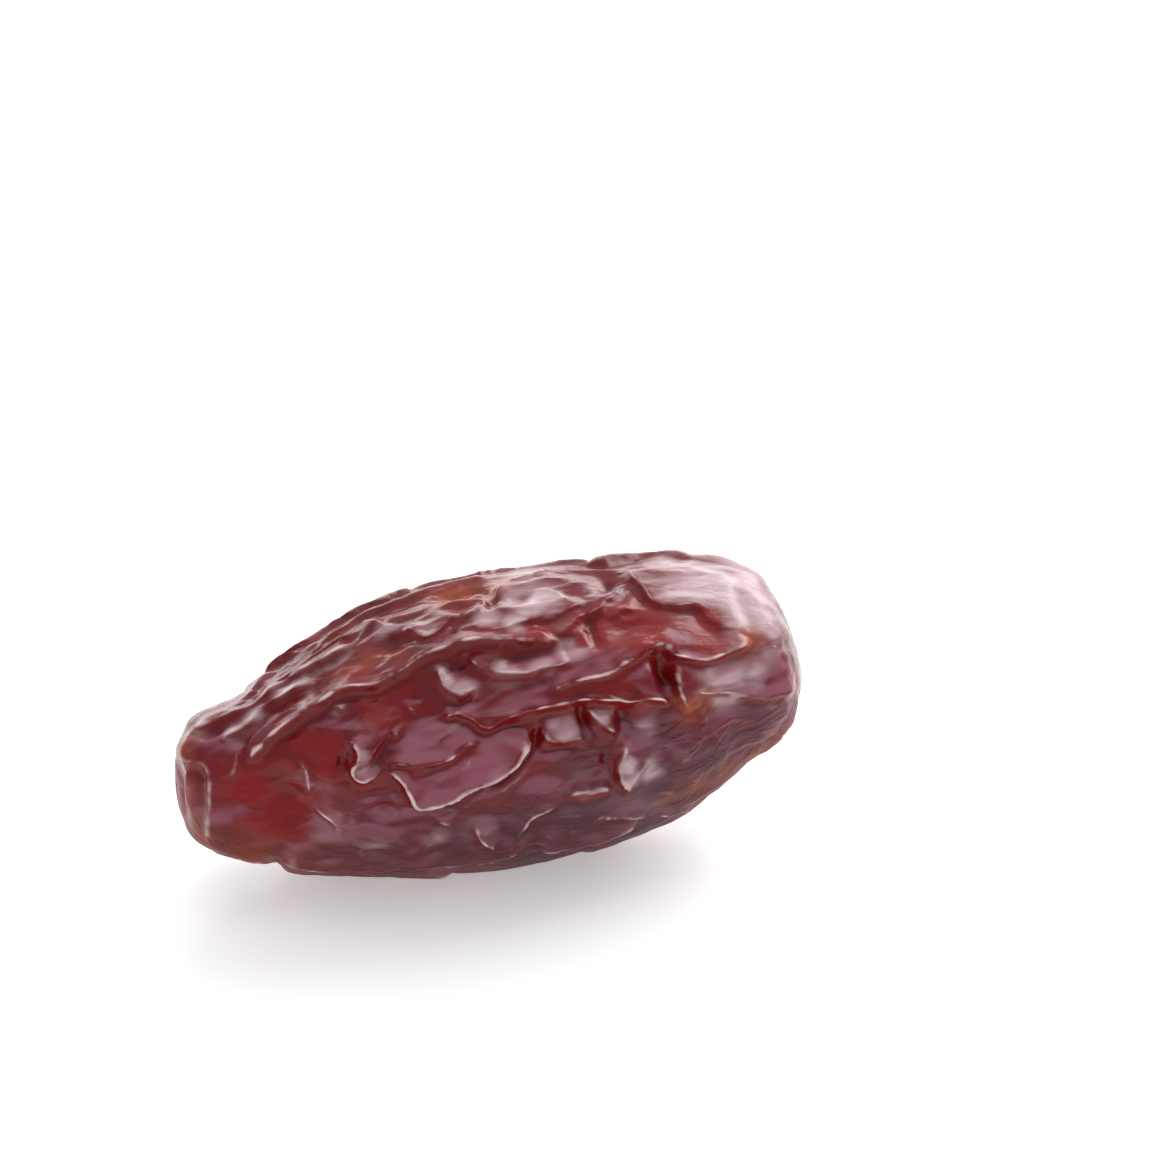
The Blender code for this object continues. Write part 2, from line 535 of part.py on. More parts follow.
def shape_skin(net):
    """Draw the net over the fruit: round, then plump, then folded, then laid down."""
    corners = np.array([vert.co for vert in net.verts])
    spread = np.tan(corners * math.pi / 4)
    spread /= np.linalg.norm(spread, axis=1, keepdims=True)
    x = spread[:, 0] * LENGTH / 2
    around = np.arctan2(spread[:, 2], -spread[:, 1])
    turn = np.degrees(around - FRONT_SHARE * np.sin(around - math.radians(FRONT_TURN)))
    folds = all_folds()
    drawn = gather(plump(x, turn), folds)
    x = np.clip(drawn[:, 0], -LENGTH / 2, LENGTH / 2)
    turn = np.degrees(np.arctan2(drawn[:, 2], -drawn[:, 1]))
    skin = plump(x, turn)
    lift = rest_height()
    calm = smooth_step((lay_down(skin)[:, 2] + lift + 0.2) / 2.0)
    raised, sunk = relief(waver(skin), folds)
    shrunk = SHRINK * smooth_step((FULL_ENDS[1] - np.abs(x)) / (FULL_ENDS[1] - FULL_ENDS[0]))
    height = (raised - sunk - shrunk + slack(skin) + wrinkles(skin)) * calm
    folded = lay_down(skin + outward(x, turn) * height[:, None])
    folded[:, 2] = np.maximum(folded[:, 2] + lift, 0.0)
    for vert, place in zip(net.verts, folded):
        vert.co = place
    for _ in range(EVEN_OUT):
        bmesh.ops.smooth_vert(
            net, verts=net.verts, factor=0.5, use_axis_x=True, use_axis_y=True, use_axis_z=True
        )


def centre_on_origin(net):
    """Bring the middle of the fruit's footprint over the origin."""
    places = np.array([vert.co for vert in net.verts])
    middle = (places.min(axis=0) + places.max(axis=0)) / 2
    bmesh.ops.translate(net, vec=(-middle[0], -middle[1], 0.0), verts=net.verts)


def skin_material():
    """Glossy, deep red-brown skin."""
    material = bpy.data.materials.new("date_skin")
    material.use_nodes = True
    shader = material.node_tree.nodes["Principled BSDF"]
    shader.inputs["Base Color"].default_value = SKIN_COLOUR
    shader.inputs["Roughness"].default_value = SKIN_ROUGHNESS
    shader.inputs["Metallic"].default_value = 0.0
    return material


def make_date():
    """The whole fruit as one closed body."""
    net = box_net(CELLS, CELLS_ALONG)
    shape_skin(net)
    centre_on_origin(net)
    bmesh.ops.scale(net, vec=(MM, MM, MM), verts=net.verts)
    bmesh.ops.triangulate(net, faces=net.faces)
    bmesh.ops.recalc_face_normals(net, faces=net.faces)
    mesh = bpy.data.meshes.new("date")
    net.to_mesh(mesh)
    full = len(mesh.polygons)
    net.free()
    mesh.shade_smooth()
    mesh.materials.append(skin_material())
    date = bpy.data.objects.new("date", mesh)
    bpy.context.scene.collection.objects.link(date)
    thin = date.modifiers.new("thin", "DECIMATE")
    thin.ratio = FACES / full
    thin.use_collapse_triangulate = True
    return date


clear_scene()
make_date()
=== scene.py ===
"""The looks of a whole dried date: soft, deeply folded, glossy skin, lying on a white table.

The skin is modelled anew, finer than the solid that it stands for, by the same rules:
a plump outline, folds along routes, hollows, wrinkles, and a flat spot that it lies on.
A place on the skin is given as (x, turn): x in millimetres along the fruit, and turn
in degrees round it, with 0 at the front (-Y), 90 on top, 180 at the back, 270 below.
"""

import math

import bmesh
import bpy
import numpy as np
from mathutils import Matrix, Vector, noise


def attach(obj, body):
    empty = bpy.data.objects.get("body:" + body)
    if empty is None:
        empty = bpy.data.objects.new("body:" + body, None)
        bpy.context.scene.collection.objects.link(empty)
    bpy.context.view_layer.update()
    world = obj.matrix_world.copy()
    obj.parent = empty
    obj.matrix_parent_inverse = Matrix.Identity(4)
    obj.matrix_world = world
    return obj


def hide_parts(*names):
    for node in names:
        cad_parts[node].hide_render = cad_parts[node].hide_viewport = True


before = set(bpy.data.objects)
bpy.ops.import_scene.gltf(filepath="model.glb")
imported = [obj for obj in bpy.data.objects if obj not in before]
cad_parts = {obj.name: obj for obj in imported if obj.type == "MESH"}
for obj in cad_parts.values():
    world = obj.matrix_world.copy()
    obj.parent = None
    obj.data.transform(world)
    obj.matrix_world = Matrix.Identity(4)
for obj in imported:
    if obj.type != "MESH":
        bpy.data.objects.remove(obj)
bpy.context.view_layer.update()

MM = 0.001

# Driving sizes, in millimetres and degrees
LENGTH = 52.0
TILT = 6.0                # the broad end lies higher than the stalk end
PRESS = 0.5               # how far the weight has pressed the underside flat
RAIL_TURN = 28.0          # where round the fruit the first rail of its outline runs
# Where its lowest point is looked for: a stretch of x, one of turn, and how finely
UNDERSIDE = ((-20.0, 20.0, 200), (240.0, 300.0, 61))

# The plump outline: how far four rails, a quarter turn apart, stand off the long axis
STATIONS = (-26.0, -25.3, -23.6, -20.0, -14.0, -7.0, 0.0, 7.0, 14.0, 19.0, 23.4, 26.0)
RAILS = (
    (0.0, 3.4, 4.9, 7.0, 9.5, 11.1, 11.5, 11.2, 10.4, 9.0, 6.7, 0.0),
    (0.0, 3.3, 4.9, 6.7, 9.3, 11.35, 11.75, 11.35, 10.4, 9.6, 7.1, 0.0),
    (0.0, 4.1, 5.4, 7.1, 9.5, 11.1, 11.5, 11.3, 10.5, 9.2, 6.8, 0.0),
    (0.0, 4.0, 5.7, 8.1, 9.6, 11.4, 12.4, 12.4, 11.2, 8.9, 6.3, 0.0),
)

# Shape across a fold: a long ramp, a thin lip along the crest, a short steep side
RAMP = 2.0                # length of the ramp, to the fold's width
RAMP_EASE = 1.3           # how gently the foot of the ramp starts
STEEP = 0.38
STEEP_EASE = 1.4          # how squarely the steep side drops from the crest
LIP = 0.12                # share of the height that the thin lip has
LIP_WIDTH = 0.25
ROUNDING = 0.10           # how far the crest itself is rounded
GROOVE = 0.45             # depth of the groove under the steep side, to the fold's height
GROOVE_WIDTH = 1.0
SHRINK = 0.75             # how far the skin between the folds has sunk
FULL_ENDS = (18.0, 24.0)  # the ends have not sunk: over this stretch the sinking fades out
JOINING = 4.0             # how sharply the highest of several folds wins over the others
REACH = 6.5               # folds are followed out to this far from their crest
FADE_OUT = 1.6            # the last stretch of that, over which they fade out
END_TAPER = 1.6
STEP = 0.12               # spacing of the points that a route is followed by
CURVE_POINTS = 40         # points between two places of a route, before they are spaced out
TAPER_MOST = 0.45         # the most of a fold's length that its end taper takes
BLOCK = 4000              # how many points are measured against a route at a time
GATHER = 0.5              # how strongly the net's lines are drawn in to a crest
GATHER_REACH = 0.45       # and from about how far
GATHER_FAR = 1.1          # beyond this they are left alone
GATHER_MOST = 0.15        # the farthest that a line is drawn
EVEN_OUT = 2              # rounds of evening out, which take the saw teeth off the crests
WAVER = ((0.45, 4.0), (0.16, 1.5))       # how far folds waver, and over what spacing
NOISE_SEED = 5            # fixes the noise that the wavering and the wrinkles follow

# Width of a fold's rising side
THIN = 0.8
NARROW = 1.3
MEDIUM = 2.2
BROAD = 4.5

# Folds that show from the front. Each is (height, width, side, route): side is the hand
# that the steep side is on, going along the route (1 left, -1 right, seen from outside).
FRONT_FOLDS = (
    # The long fold that runs from the stalk end up over the middle
    (0.91, NARROW, -1, ((-20.9, 43), (-20.0, 41.5), (-18.7, 48.5), (-17.3, 54), (-15.0, 59),
        (-12.3, 63.5), (-10.9, 60), (-9.3, 57.5), (-6.9, 60.5), (-4.8, 64), (-1.3, 64.5), (1.2, 62),
        (3.4, 58), (4.8, 57), (5.8, 60))),
    (0.42, THIN, -1, ((5.2, 58), (6.5, 63), (8.3, 68.5), (9.7, 72), (11.3, 79.5), (12.4, 87))),
    # Folds over the shoulder of the stalk end
    (0.70, NARROW, -1, ((-24.2, 94), (-23.3, 87), (-22.5, 84), (-20.9, 83), (-18.8, 84), (-17.0, 88),
        (-14.7, 88), (-12.4, 87), (-9.8, 87))),
    (0.66, NARROW, -1, ((-22.4, 63), (-20.4, 64), (-19.3, 69), (-18.4, 76), (-16.9, 76), (-15.4, 74),
        (-14.4, 72), (-13.8, 75), (-13.2, 80))),
    (0.56, NARROW, -1, ((-20.9, 85), (-20.3, 90), (-19.3, 97), (-18.2, 105), (-17.2, 112),
        (-16.0, 116))),
    (0.49, THIN, -1, ((-15.6, 89), (-14.6, 94), (-13.4, 98), (-11.6, 98), (-10.4, 97), (-9.2, 101))),
    (0.49, THIN, 1, ((-9.6, 108), (-8.6, 103), (-7.8, 96), (-6.9, 91), (-6.0, 88))),
    (0.49, NARROW, -1, ((-14.5, 103), (-12.5, 105), (-10.5, 108), (-8.5, 112), (-6.5, 110), (-4.0, 111),
        (-1.0, 113), (3.0, 113))),
    (0.52, MEDIUM, -1, ((-23.4, 33.5), (-21.8, 33.5), (-21.2, 40), (-20.8, 50), (-20.2, 58))),
    # Rim of the stalk end and the lip inside it
    (0.60, MEDIUM, -1, ((-23.5, 95), (-24.4, 86), (-25.0, 77), (-25.1, 66), (-24.6, 55), (-23.8, 46),
        (-23.5, 32), (-23.7, 16), (-24.0, -4), (-24.2, -22), (-24.1, -36))),
    (0.42, THIN, -1, ((-25.0, 60), (-25.1, 50), (-25.4, 36), (-25.7, 15), (-25.8, -30))),
    # Facets along the top
    (0.59, NARROW, -1, ((-6.4, 87), (-5.6, 82), (-4.9, 76.5), (-4.1, 74), (-3.3, 76), (-2.5, 80),
        (-1.7, 84), (-0.9, 88))),
    (0.42, THIN, 1, ((-3.1, 94), (-1.2, 94.5), (0.7, 93), (1.1, 88), (0.3, 83), (-0.8, 82),
        (-1.8, 82.5))),
    (0.42, NARROW, 1, ((1.7, 90), (2.3, 98), (3.0, 103), (4.3, 106), (6.0, 108), (8.4, 111))),
    (0.49, MEDIUM, -1, ((-1.8, 77), (-0.5, 72.5), (0.4, 70), (1.4, 68.5), (2.8, 69.5), (4.5, 70),
        (6.5, 71.5), (8.2, 74.5), (9.2, 79))),
    (0.28, THIN, -1, ((2.8, 97), (4.3, 98), (6.0, 99), (8.0, 98), (9.3, 99))),
    # Lobes under the long fold
    (0.73, MEDIUM, -1, ((-4.7, 62), (-4.9, 56), (-4.9, 50.5), (-4.5, 46), (-3.7, 43.5), (-2.8, 43.5),
        (-2.0, 39))),
    (0.66, MEDIUM, -1, ((-2.2, 61), (-1.6, 55), (-1.2, 52), (0.1, 49), (1.8, 45.5), (3.2, 45.5),
        (5.0, 46), (6.6, 47))),
    (0.32, THIN, -1, ((-9.3, 70), (-9.2, 67), (-8.6, 64), (-7.9, 62))),
    (0.40, NARROW, -1, ((-13.3, 60), (-13.4, 56), (-12.9, 52), (-12.2, 51))),
    (0.36, NARROW, -1, ((-9.3, 39), (-9.4, 35), (-8.9, 32), (-8.0, 31))),
    (0.40, NARROW, -1, ((-7.6, 50), (-7.9, 45), (-7.3, 41), (-6.2, 40))),
    # The edge of the smooth broad shoulder, down to its point
    (0.49, BROAD, -1, ((13.2, 104), (13.4, 95), (13.7, 84.5), (14.0, 74), (14.7, 70), (17.0, 68.3),
        (17.9, 63), (18.4, 54), (19.9, 50), (21.8, 47.5))),
    (0.32, THIN, -1, ((9.6, 65), (10.4, 67), (11.4, 68.5), (12.8, 67))),
    # The long ridge across the broad half, and the hollow cut under it
    (0.84, MEDIUM, -1, ((2.7, 36), (5.1, 36), (7.9, 37.5), (9.2, 39), (10.5, 42), (12.2, 46),
        (13.4, 47.5), (14.1, 46), (14.8, 41), (15.8, 37.5), (17.0, 35.5), (18.2, 36), (19.4, 38),
        (20.6, 41), (21.6, 44))),
    (0.77, MEDIUM, -1, ((14.8, 42), (14.5, 36), (14.3, 30), (14.2, 23.5), (14.3, 18), (14.8, 14))),
    (0.42, MEDIUM, -1, ((11.9, 23), (12.0, 31), (12.2, 38), (12.5, 44))),
    (0.24, THIN, -1, ((13.1, 40), (13.4, 36), (13.6, 31))),
    # The second long ridge, with the facets that hang from it
    (0.77, MEDIUM, -1, ((-4.5, 42), (-5.0, 36), (-4.3, 36), (-2.8, 30.5), (-1.5, 26.5), (0.3, 28.5),
        (2.8, 30.5), (4.7, 30), (6.4, 29.3), (8.6, 27.8), (9.8, 24.5), (11.4, 23), (12.7, 20),
        (13.7, 15.5))),
    (0.63, NARROW, -1, ((2.6, 28), (2.4, 20), (3.2, 16), (5.0, 14), (6.1, 12))),
    (0.59, THIN, -1, ((6.4, 28), (6.9, 20.7), (7.8, 14.8), (9.3, 11))),
    # Ridges that run together at the broad end
    (0.52, MEDIUM, -1, ((14.8, 24.5), (16.6, 20.5), (18.5, 14.6), (20.3, 9), (22.0, 4.6), (24.2, 0))),
    (0.28, THIN, -1, ((14.2, 16.6), (15.2, 16.5), (16.4, 15.5))),
    (0.24, NARROW, -1, ((16.8, 29), (18.5, 25.5), (20.5, 22), (22.5, 18), (24.5, 17))),
    (0.35, MEDIUM, -1, ((13.2, -9), (15.4, -2), (16.6, 1), (17.6, 2), (18.5, 1), (19.8, -5),
        (21.0, -13), (22.6, -24))),
    (0.56, MEDIUM, 1, ((24.2, -48), (22.6, -34), (21.2, -25), (19.4, -19.5), (17.4, -18), (15.2, -20),
        (12.8, -24))),
    # Lobes low on the front
    (1.33, MEDIUM, -1, ((-13.3, 37), (-12.6, 33.5), (-12.3, 30), (-12.4, 25), (-13.0, 21),
        (-12.9, 17.5), (-12.2, 16), (-11.3, 17.3), (-10.4, 20))),
    (0.88, NARROW, -1, ((-10.2, 19), (-9.4, 20.5), (-8.4, 18.9), (-7.0, 17.5), (-5.5, 17.8), (-4.2, 20),
        (-3.0, 21.5), (-1.8, 20.5))),
    (1.52, MEDIUM, -1, ((-9.9, 20), (-9.9, 17), (-9.4, 12.5), (-8.9, 6), (-8.5, 1), (-7.3, 0.5),
        (-5.0, 3.5), (-3.2, 7), (-1.0, 8.5), (0.4, 14), (1.4, 22))),
    (0.95, MEDIUM, -1, ((9.2, 12), (8.8, 5.5), (8.2, 0), (7.9, -5), (8.2, -12), (9.0, -17))),
    (0.51, THIN, -1, ((9.9, 6), (9.9, 0), (10.1, -6), (10.4, -12))),
    (0.95, NARROW, -1, ((-4.0, -10), (-4.4, -16), (-4.0, -21), (-3.1, -27), (-2.0, -31))),
    (0.75, NARROW, 1, ((3.0, -11), (4.2, -7.5), (5.9, -8.5), (7.0, -11), (7.6, -16))),
    (0.75, NARROW, -1, ((-1.2, -40), (-1.2, -32), (-0.6, -22), (0.4, -15), (1.9, -12), (3.2, -14))),
    (0.82, NARROW, -1, ((4.6, -24), (6.2, -25), (8.0, -28), (9.6, -31.5), (11.2, -35), (13.0, -41),
        (15.0, -50))),
    (0.64, THIN, -1, ((2.0, -46), (3.6, -46), (5.4, -48), (7.2, -52))),
    (0.57, THIN, -1, ((-7.6, -10), (-6.6, -12), (-5.4, -14))),
    (0.64, THIN, -1, ((-8.8, -31), (-8.2, -27), (-7.5, -22), (-7.1, -18))),
    (0.57, MEDIUM, -1, ((-14.0, 2), (-13.3, 7), (-12.0, 10.5), (-10.6, 11), (-9.9, 9))),
    (0.64, MEDIUM, -1, ((-17.4, 4), (-16.2, -1), (-15.2, -7), (-14.7, -18))),
    (0.51, MEDIUM, 1, ((-17.0, 36), (-16.5, 26), (-16.6, 15), (-17.2, 6))),
    (0.64, MEDIUM, -1, ((-18.6, -38), (-17.8, -33), (-17.2, -38), (-16.4, -46))),
    (0.64, NARROW, 1, ((-13.9, -34), (-12.4, -30), (-10.8, -34), (-9.6, -42))),
)

# Creases: a depth and the route that it follows
CREASES = (
    (0.50, ((-1.2, 106), (1.3, 103), (2.0, 96), (1.6, 88), (0.6, 80))),
    (0.70, ((2.5, 28), (2.3, 24), (1.75, 20), (0.7, 13), (-0.6, 7), (-1.9, 4.5), (-3.7, 3.5))),
    (0.60, ((6.1, 27), (6.1, 20), (6.2, 14))),
    (0.55, ((-13.3, 33), (-13.6, 27), (-13.9, 21), (-13.6, 16))),
    (0.45, ((-10.4, 15), (-10.0, 9), (-9.6, 4), (-8.6, -2))),
    (0.35, ((15.2, 23), (17.0, 20), (18.5, 16.5), (20.5, 14))),
    (0.45, ((-12.4, 1.5), (-10.9, 0.8), (-9.5, 1.2))),
    (0.40, ((-15.0, -7), (-14.2, -5), (-13.4, -7))),
)
CREASE_WIDTH = 0.5
CREASE_REACH = 2.0        # creases are followed out to this far from their route

# Hollows between the folds: (depth, x, turn, reach along, reach round)
HOLLOWS = (
    (1.60, 13.3, 32, 0.95, 2.1), (0.80, 2.4, 54, 1.9, 0.9), (0.70, -3.4, 57, 1.1, 0.8),
    (0.90, 6.0, 22, 0.5, 1.5), (0.90, 9.4, 19, 0.7, 1.7), (0.70, 11.3, 92, 0.9, 1.6),
    (0.60, 8.6, 61, 0.5, 1.7), (0.35, 3.8, 88, 1.0, 1.0), (0.50, -0.6, 104, 2.0, 0.9),
    (0.45, -16.3, 93, 1.0, 0.9), (0.50, -7.6, 80, 1.2, 1.0), (0.60, -18.8, 14, 1.8, 3.2),
    (0.50, -7.2, 45, 1.6, 2.2), (0.45, 12.5, 60, 3.0, 1.0), (0.40, 7.4, 0, 0.7, 2.0),
    (1.30, -26.0, 0, 1.6, 2.9),
)

# Stretches that stay smooth: (x, turn, reach)
SMOOTH_SPOTS = (
    (19.0, 80, 7.0), (16.0, 60, 3.5), (5.0, 82, 3.5), (-19.5, 12, 4.0),
)

# Small folds scattered low on the front and over the hidden side: seed, how many, and
# the stretch round the fruit that they lie on
SMALL_FOLDS = (
    (23, 34, (-62.0, 30.0)),
    (5, 30, (112.0, 298.0)),
)
SMALL_X = (-21.0, 21.0)
SMALL_HEIGHT = (0.22, 0.42)
SMALL_LENGTH = (2.0, 4.5)
SMALL_SLANT = 4.0         # how much they turn along their way, in degrees a millimetre
SMALL_WANDER = 1.6        # and how unevenly, in degrees
SHORT_PLACES = 4          # places that a small fold or a link runs through

# Small wrinkles all over, longer along the fruit than across it
WRINKLES = ((0.20, 2.6), (0.09, 1.2))    # height and spacing
WRINKLE_STRETCH = 2.3
WRINKLE_BEND = 0.45       # how far they are bent, and over how much wider a spacing
WRINKLE_BEND_PITCH = 0.6
WRINKLE_TOP = 0.4         # how high their ridges stand, to their height,
WRINKLE_FALL = 2.0        # and how fast the sides fall away from there
SMOOTH_SHARE = 0.8        # how much weaker they are in the smooth stretches

# Broad, shallow dents all over: waves in seeded directions
DENT_SEED = 7
DENT_WAVES = 14
DENT_DEPTH = 0.085
DENT_PITCH = (0.16, 0.34, 0.34)

# The hidden side: folds follow lanes along the fruit, short links cross between the
# lanes, and at both ends folds run together
LANE_SEED = 41
LANE_FIRST = 122.0
LANE_LAST = 316.0
LANES = 10
LANE_SPAN = (-20.5, 22.5)
LANE_HEIGHT = (0.5, 0.95)
LANE_LENGTH = (8.0, 17.0)
LANE_STEP = 2.2           # spacing of the places that a lane's fold runs through
LANE_SWAY = 5.0           # how far a fold's start strays from its lane, in degrees
LANE_DRIFT = 2.2          # how far a lane's fold wanders from step to step, in degrees
LANE_HOOK = (5.0, 14.0)   # how far a fold's last quarter hooks aside, in degrees
LANE_START = 3.0          # the farthest that a lane's first fold starts from its end
LANE_LEAST = 4.0          # no fold starts closer than this to the lane's other end
LANE_OVERLAP = (-1.5, 2.0)    # how far a fold reaches past the next one's start
LINKS = 16
LINK_HEIGHT = (0.4, 0.7)
LINK_X = (-18.0, 18.0)
LINK_SLANT = (-2.5, 2.5)  # how far along the fruit a link runs
LINK_WANDER = 0.5
END_FOLDS = ((-24.6, -18.5), (24.9, 17.5))
END_HEIGHT = (0.3, 0.55)
END_DRIFT = 4.0           # how far these wander from step to step, in degrees
END_STRAY = 2.0           # how far along the fruit their inner ends stray
END_INSET = 6.0           # how far inside the lanes they lie, in degrees
END_LANES = 7
END_PLACES = 5

# The net that is drawn over the fruit
CELLS = 86                # mesh cells across an end
CELLS_ALONG = 236         # mesh cells along the fruit
FRONT_SHARE = 0.35        # how much closer together the cells are at the front
FRONT_TURN = 40.0         # where round the fruit they are closest
CALM_BELOW = 0.2          # the relief fades out near the table: it starts this far under it
CALM_OVER = 2.0           # and is whole this much higher

# What the finish reads at each point of the skin, in millimetres unless said otherwise
CREST_SHIFT = 0.04        # the pale line along a crest, partly a painted highlight: how far on the ramp's side it runs
CREST_WIDTH = 0.10
UNDER_FROM = 0.05         # the strip of painted shade under a steep side: where it starts and ends,
UNDER_TO = 1.0
UNDER_EASE = (0.15, 0.8)  # and how softly it does
CREASE_SHADE = 1.5        # how much darker the painted shade in a crease is than the crease is deep
CROWN_ROUNDS = (6, 40)    # evening-out rounds that single out the lips, and the folds
LIP_ROUNDS = 1            # rounds that take the jaggedness off the lips,
MARK_ROUNDS = 2           # and off the other marks
HIDDEN_FROM = 4.0         # how far behind the middle the painted shade of the hidden side begins
HIDDEN_OVER = 7.0
FAR_END = (23.3, 2.5)     # the painted shade covers the broad end too: from here, over this stretch
FAR_END_SHARE = 0.8
BELLY_FROM = 0.15         # the underside, by how far the outline faces up (1) or down (-1)
BELLY_OVER = 0.6
FAINT_BEHIND = 0.5        # how much fainter the pale lines are on the hidden side
FAINT_END = (20.0, 4.0)   # and towards the broad end: from here, over this stretch
FAINT_END_SHARE = 0.6

# Where thin edges let amber light through, as a painted glow: (strength, x, turn, reach)
AMBER_SPOTS = (
    (1.0, 21.2, 44, 1.3), (0.9, 22.6, -40, 1.6), (0.8, 20.3, -38, 1.3), (0.8, 17.4, -30, 1.1),
    (0.7, 14.6, -27, 1.1), (0.4, 12.0, -26, 1.0), (0.8, 14.6, 14, 1.0), (0.6, 15.8, 16, 1.0),
    (0.8, -0.5, 104, 2.6), (0.7, 2.4, 104, 1.8), (0.5, -9.5, 75, 1.4), (0.4, -7.2, 71, 1.2),
    (0.3, -12.0, 70, 1.2), (0.8, -24.8, 84, 1.5), (0.7, -25.6, 40, 1.3), (0.6, -24.8, -38, 2.0),
    (0.6, -25.7, 62, 1.2), (0.5, -25.4, -8, 1.3), (0.5, -20.6, -44, 2.6), (0.5, 13.7, 21, 0.7),
    (0.5, 24.6, 2, 1.2), (0.6, 4.0, 160, 2.4), (0.6, -14.0, 205, 2.2), (0.6, 16.0, 232, 2.2),
)

# Where the skin is smooth and glows a clear red: (strength, x, turn, reach)
BLUSH_SPOTS = (
    (1.0, -26.0, 10, 2.6), (1.0, -20.0, 22, 3.6), (1.0, -19.5, -2, 3.6), (0.9, -15.0, 30, 2.4),
    (0.8, -17.5, 46, 2.0), (0.7, -21.5, -30, 2.6), (1.0, 13.0, 59, 3.2), (1.0, 17.5, 51, 2.8),
    (1.0, 9.0, 60, 2.4), (0.8, 4.0, 63, 1.6), (0.8, -1.0, 66, 1.6), (0.7, 8.5, 62, 2.0),
    (0.5, -15.5, 68, 1.8), (0.7, -11.0, 72, 2.0), (0.9, 13.6, 34, 1.6), (0.8, -10.5, 50, 2.4),
    (0.6, -8.0, 46, 2.6), (0.5, 9.0, 34, 2.6), (0.6, -8.0, 10, 1.6), (0.6, 1.0, 12, 1.4),
    (0.6, -14.0, 176, 4.0), (0.6, 6.0, 210, 4.0), (0.5, 16.0, 165, 4.0),
)

# Painted shade on the front, most of it low down, a dark greyish purple: (strength, x, turn, reach)
LOW_SHADE_SPOTS = (
    (1.0, 5.0, -22, 4.5), (1.0, 11.0, -20, 4.5), (0.9, 16.0, -16, 4.0), (0.8, 19.5, -8, 3.5),
    (0.9, 0.0, -22, 4.0), (0.7, -5.0, -25, 4.0), (0.7, 12.5, 6, 3.0), (0.6, 5.5, 2, 3.0),
    (0.5, -12.0, -30, 4.0), (0.9, 10.0, -46, 4.5), (0.9, 2.0, -50, 4.5),
)

# Where the whitish waxy bloom lies thick, partly a painted highlight on the shoulder and on facets:
# (strength, x, turn, reach)
BLOOM_AND_HIGHLIGHT_SPOTS = (
    (0.8, 18.5, 84, 6.0), (0.9, 22.0, 66, 5.0), (0.35, 23.5, 34, 3.4), (1.0, 5.0, 84, 3.2),
    (0.9, 0.5, 79, 1.6), (0.8, 3.6, 76, 1.4), (0.6, -4.3, 84, 1.6), (1.0, 18.0, 26, 2.6),
    (1.0, 18.0, 18, 2.0), (0.8, 21.0, 20, 1.6), (0.3, 22.0, 20, 3.0), (1.0, 8.8, -3, 1.2),
    (1.0, 8.8, -9, 1.1), (0.9, 10.7, -8, 1.2), (0.7, 10.8, 12, 1.6), (0.8, -12.0, 22, 1.3),
    (1.0, 4.0, 21, 1.3), (0.9, 7.4, 20, 0.9), (1.0, -4.2, 51, 1.2), (1.0, -3.2, 46, 1.2),
    (0.8, -4.2, 56, 1.0), (0.9, 0.6, 49, 1.3), (0.9, 3.4, 48, 1.3), (0.8, 6.2, 53, 1.6),
    (0.7, -2.0, 8, 1.0), (0.6, -3.6, -18, 1.4), (0.5, -7.3, -20, 1.2), (0.6, -17.0, 12, 1.8),
    (0.6, -15.6, -8, 2.0), (0.5, -12.0, -18, 1.4), (0.5, 9.5, -26, 2.4), (0.5, 5.0, -6, 1.8),
    (0.6, -20.0, -38, 1.2), (1.0, -12.0, 86, 1.5), (1.0, -14.5, 85, 1.4), (0.9, -16.5, 82, 1.3),
    (0.8, -15.0, 75, 1.0), (0.9, -19.4, 72, 1.2), (0.8, -21.0, 66, 1.2), (0.8, -7.6, 92, 1.4),
    (0.7, -23.0, 86, 1.0), (0.7, -13.0, 55, 0.8), (0.9, -15.2, 64, 1.1), (0.8, -12.2, 61, 0.9),
    (1.0, 2.6, 71, 1.3), (0.8, -12.2, 30, 1.0), (0.6, 8.0, 130, 6.0), (0.5, -12.0, 160, 5.0),
)
COLOUR_SPOTS = {"amber": AMBER_SPOTS, "blush": BLUSH_SPOTS, "dusk": LOW_SHADE_SPOTS, "bloom": BLOOM_AND_HIGHLIGHT_SPOTS}


def smooth_step(value):
    """Ease from 0 to 1 as the value does."""
    t = np.clip(value, 0.0, 1.0)
    return t * t * (3.0 - 2.0 * t)


def smooth_line(stations, values, x):
    """Read a smooth curve through the stations, as steep as a round end at each tip."""
    stations = np.asarray(stations)
    slope = np.empty_like(values)
    slope[1:-1] = (values[2:] - values[:-2]) / (stations[2:] - stations[:-2])
    slope[0] = 2.0 * (values[1] - values[0]) / (stations[1] - stations[0]) - slope[1]
    slope[-1] = 2.0 * (values[-1] - values[-2]) / (stations[-1] - stations[-2]) - slope[-2]
    span = np.clip(np.searchsorted(stations, x) - 1, 0, len(stations) - 2)
    width = stations[span + 1] - stations[span]
    t = (x - stations[span]) / width
    return (
        (2 * t**3 - 3 * t**2 + 1) * values[span]
        + (t**3 - 2 * t**2 + t) * width * slope[span]
        + (3 * t**2 - 2 * t**3) * values[span + 1]
        + (t**3 - t**2) * width * slope[span + 1]
    )


def girth(x, turn):
    """Radius of the plump outline at places on the skin."""
    total = 0.0
    for index, rail in enumerate(RAILS):
        off = np.radians((turn - RAIL_TURN - 90.0 * index + 180.0) % 360.0 - 180.0)
        share = np.where(np.abs(off) < math.pi / 2, np.cos(off) ** 2, 0.0)
        squares = np.square(np.asarray(rail))
        total = total + share * np.maximum(smooth_line(STATIONS, squares, x), 0.0)
    return np.sqrt(total)


def plump(x, turn):
    """Points of the plump outline, before any fold."""
    radius = girth(x, turn)
    angle = np.radians(turn)
    return np.stack((x, -radius * np.cos(angle), radius * np.sin(angle)), axis=-1)


def off_from(x, turn, skin):
    """How far, and which way, places on the skin lie from one place on it."""
    return skin - plump(np.array([float(x)]), np.array([float(turn)]))[0]


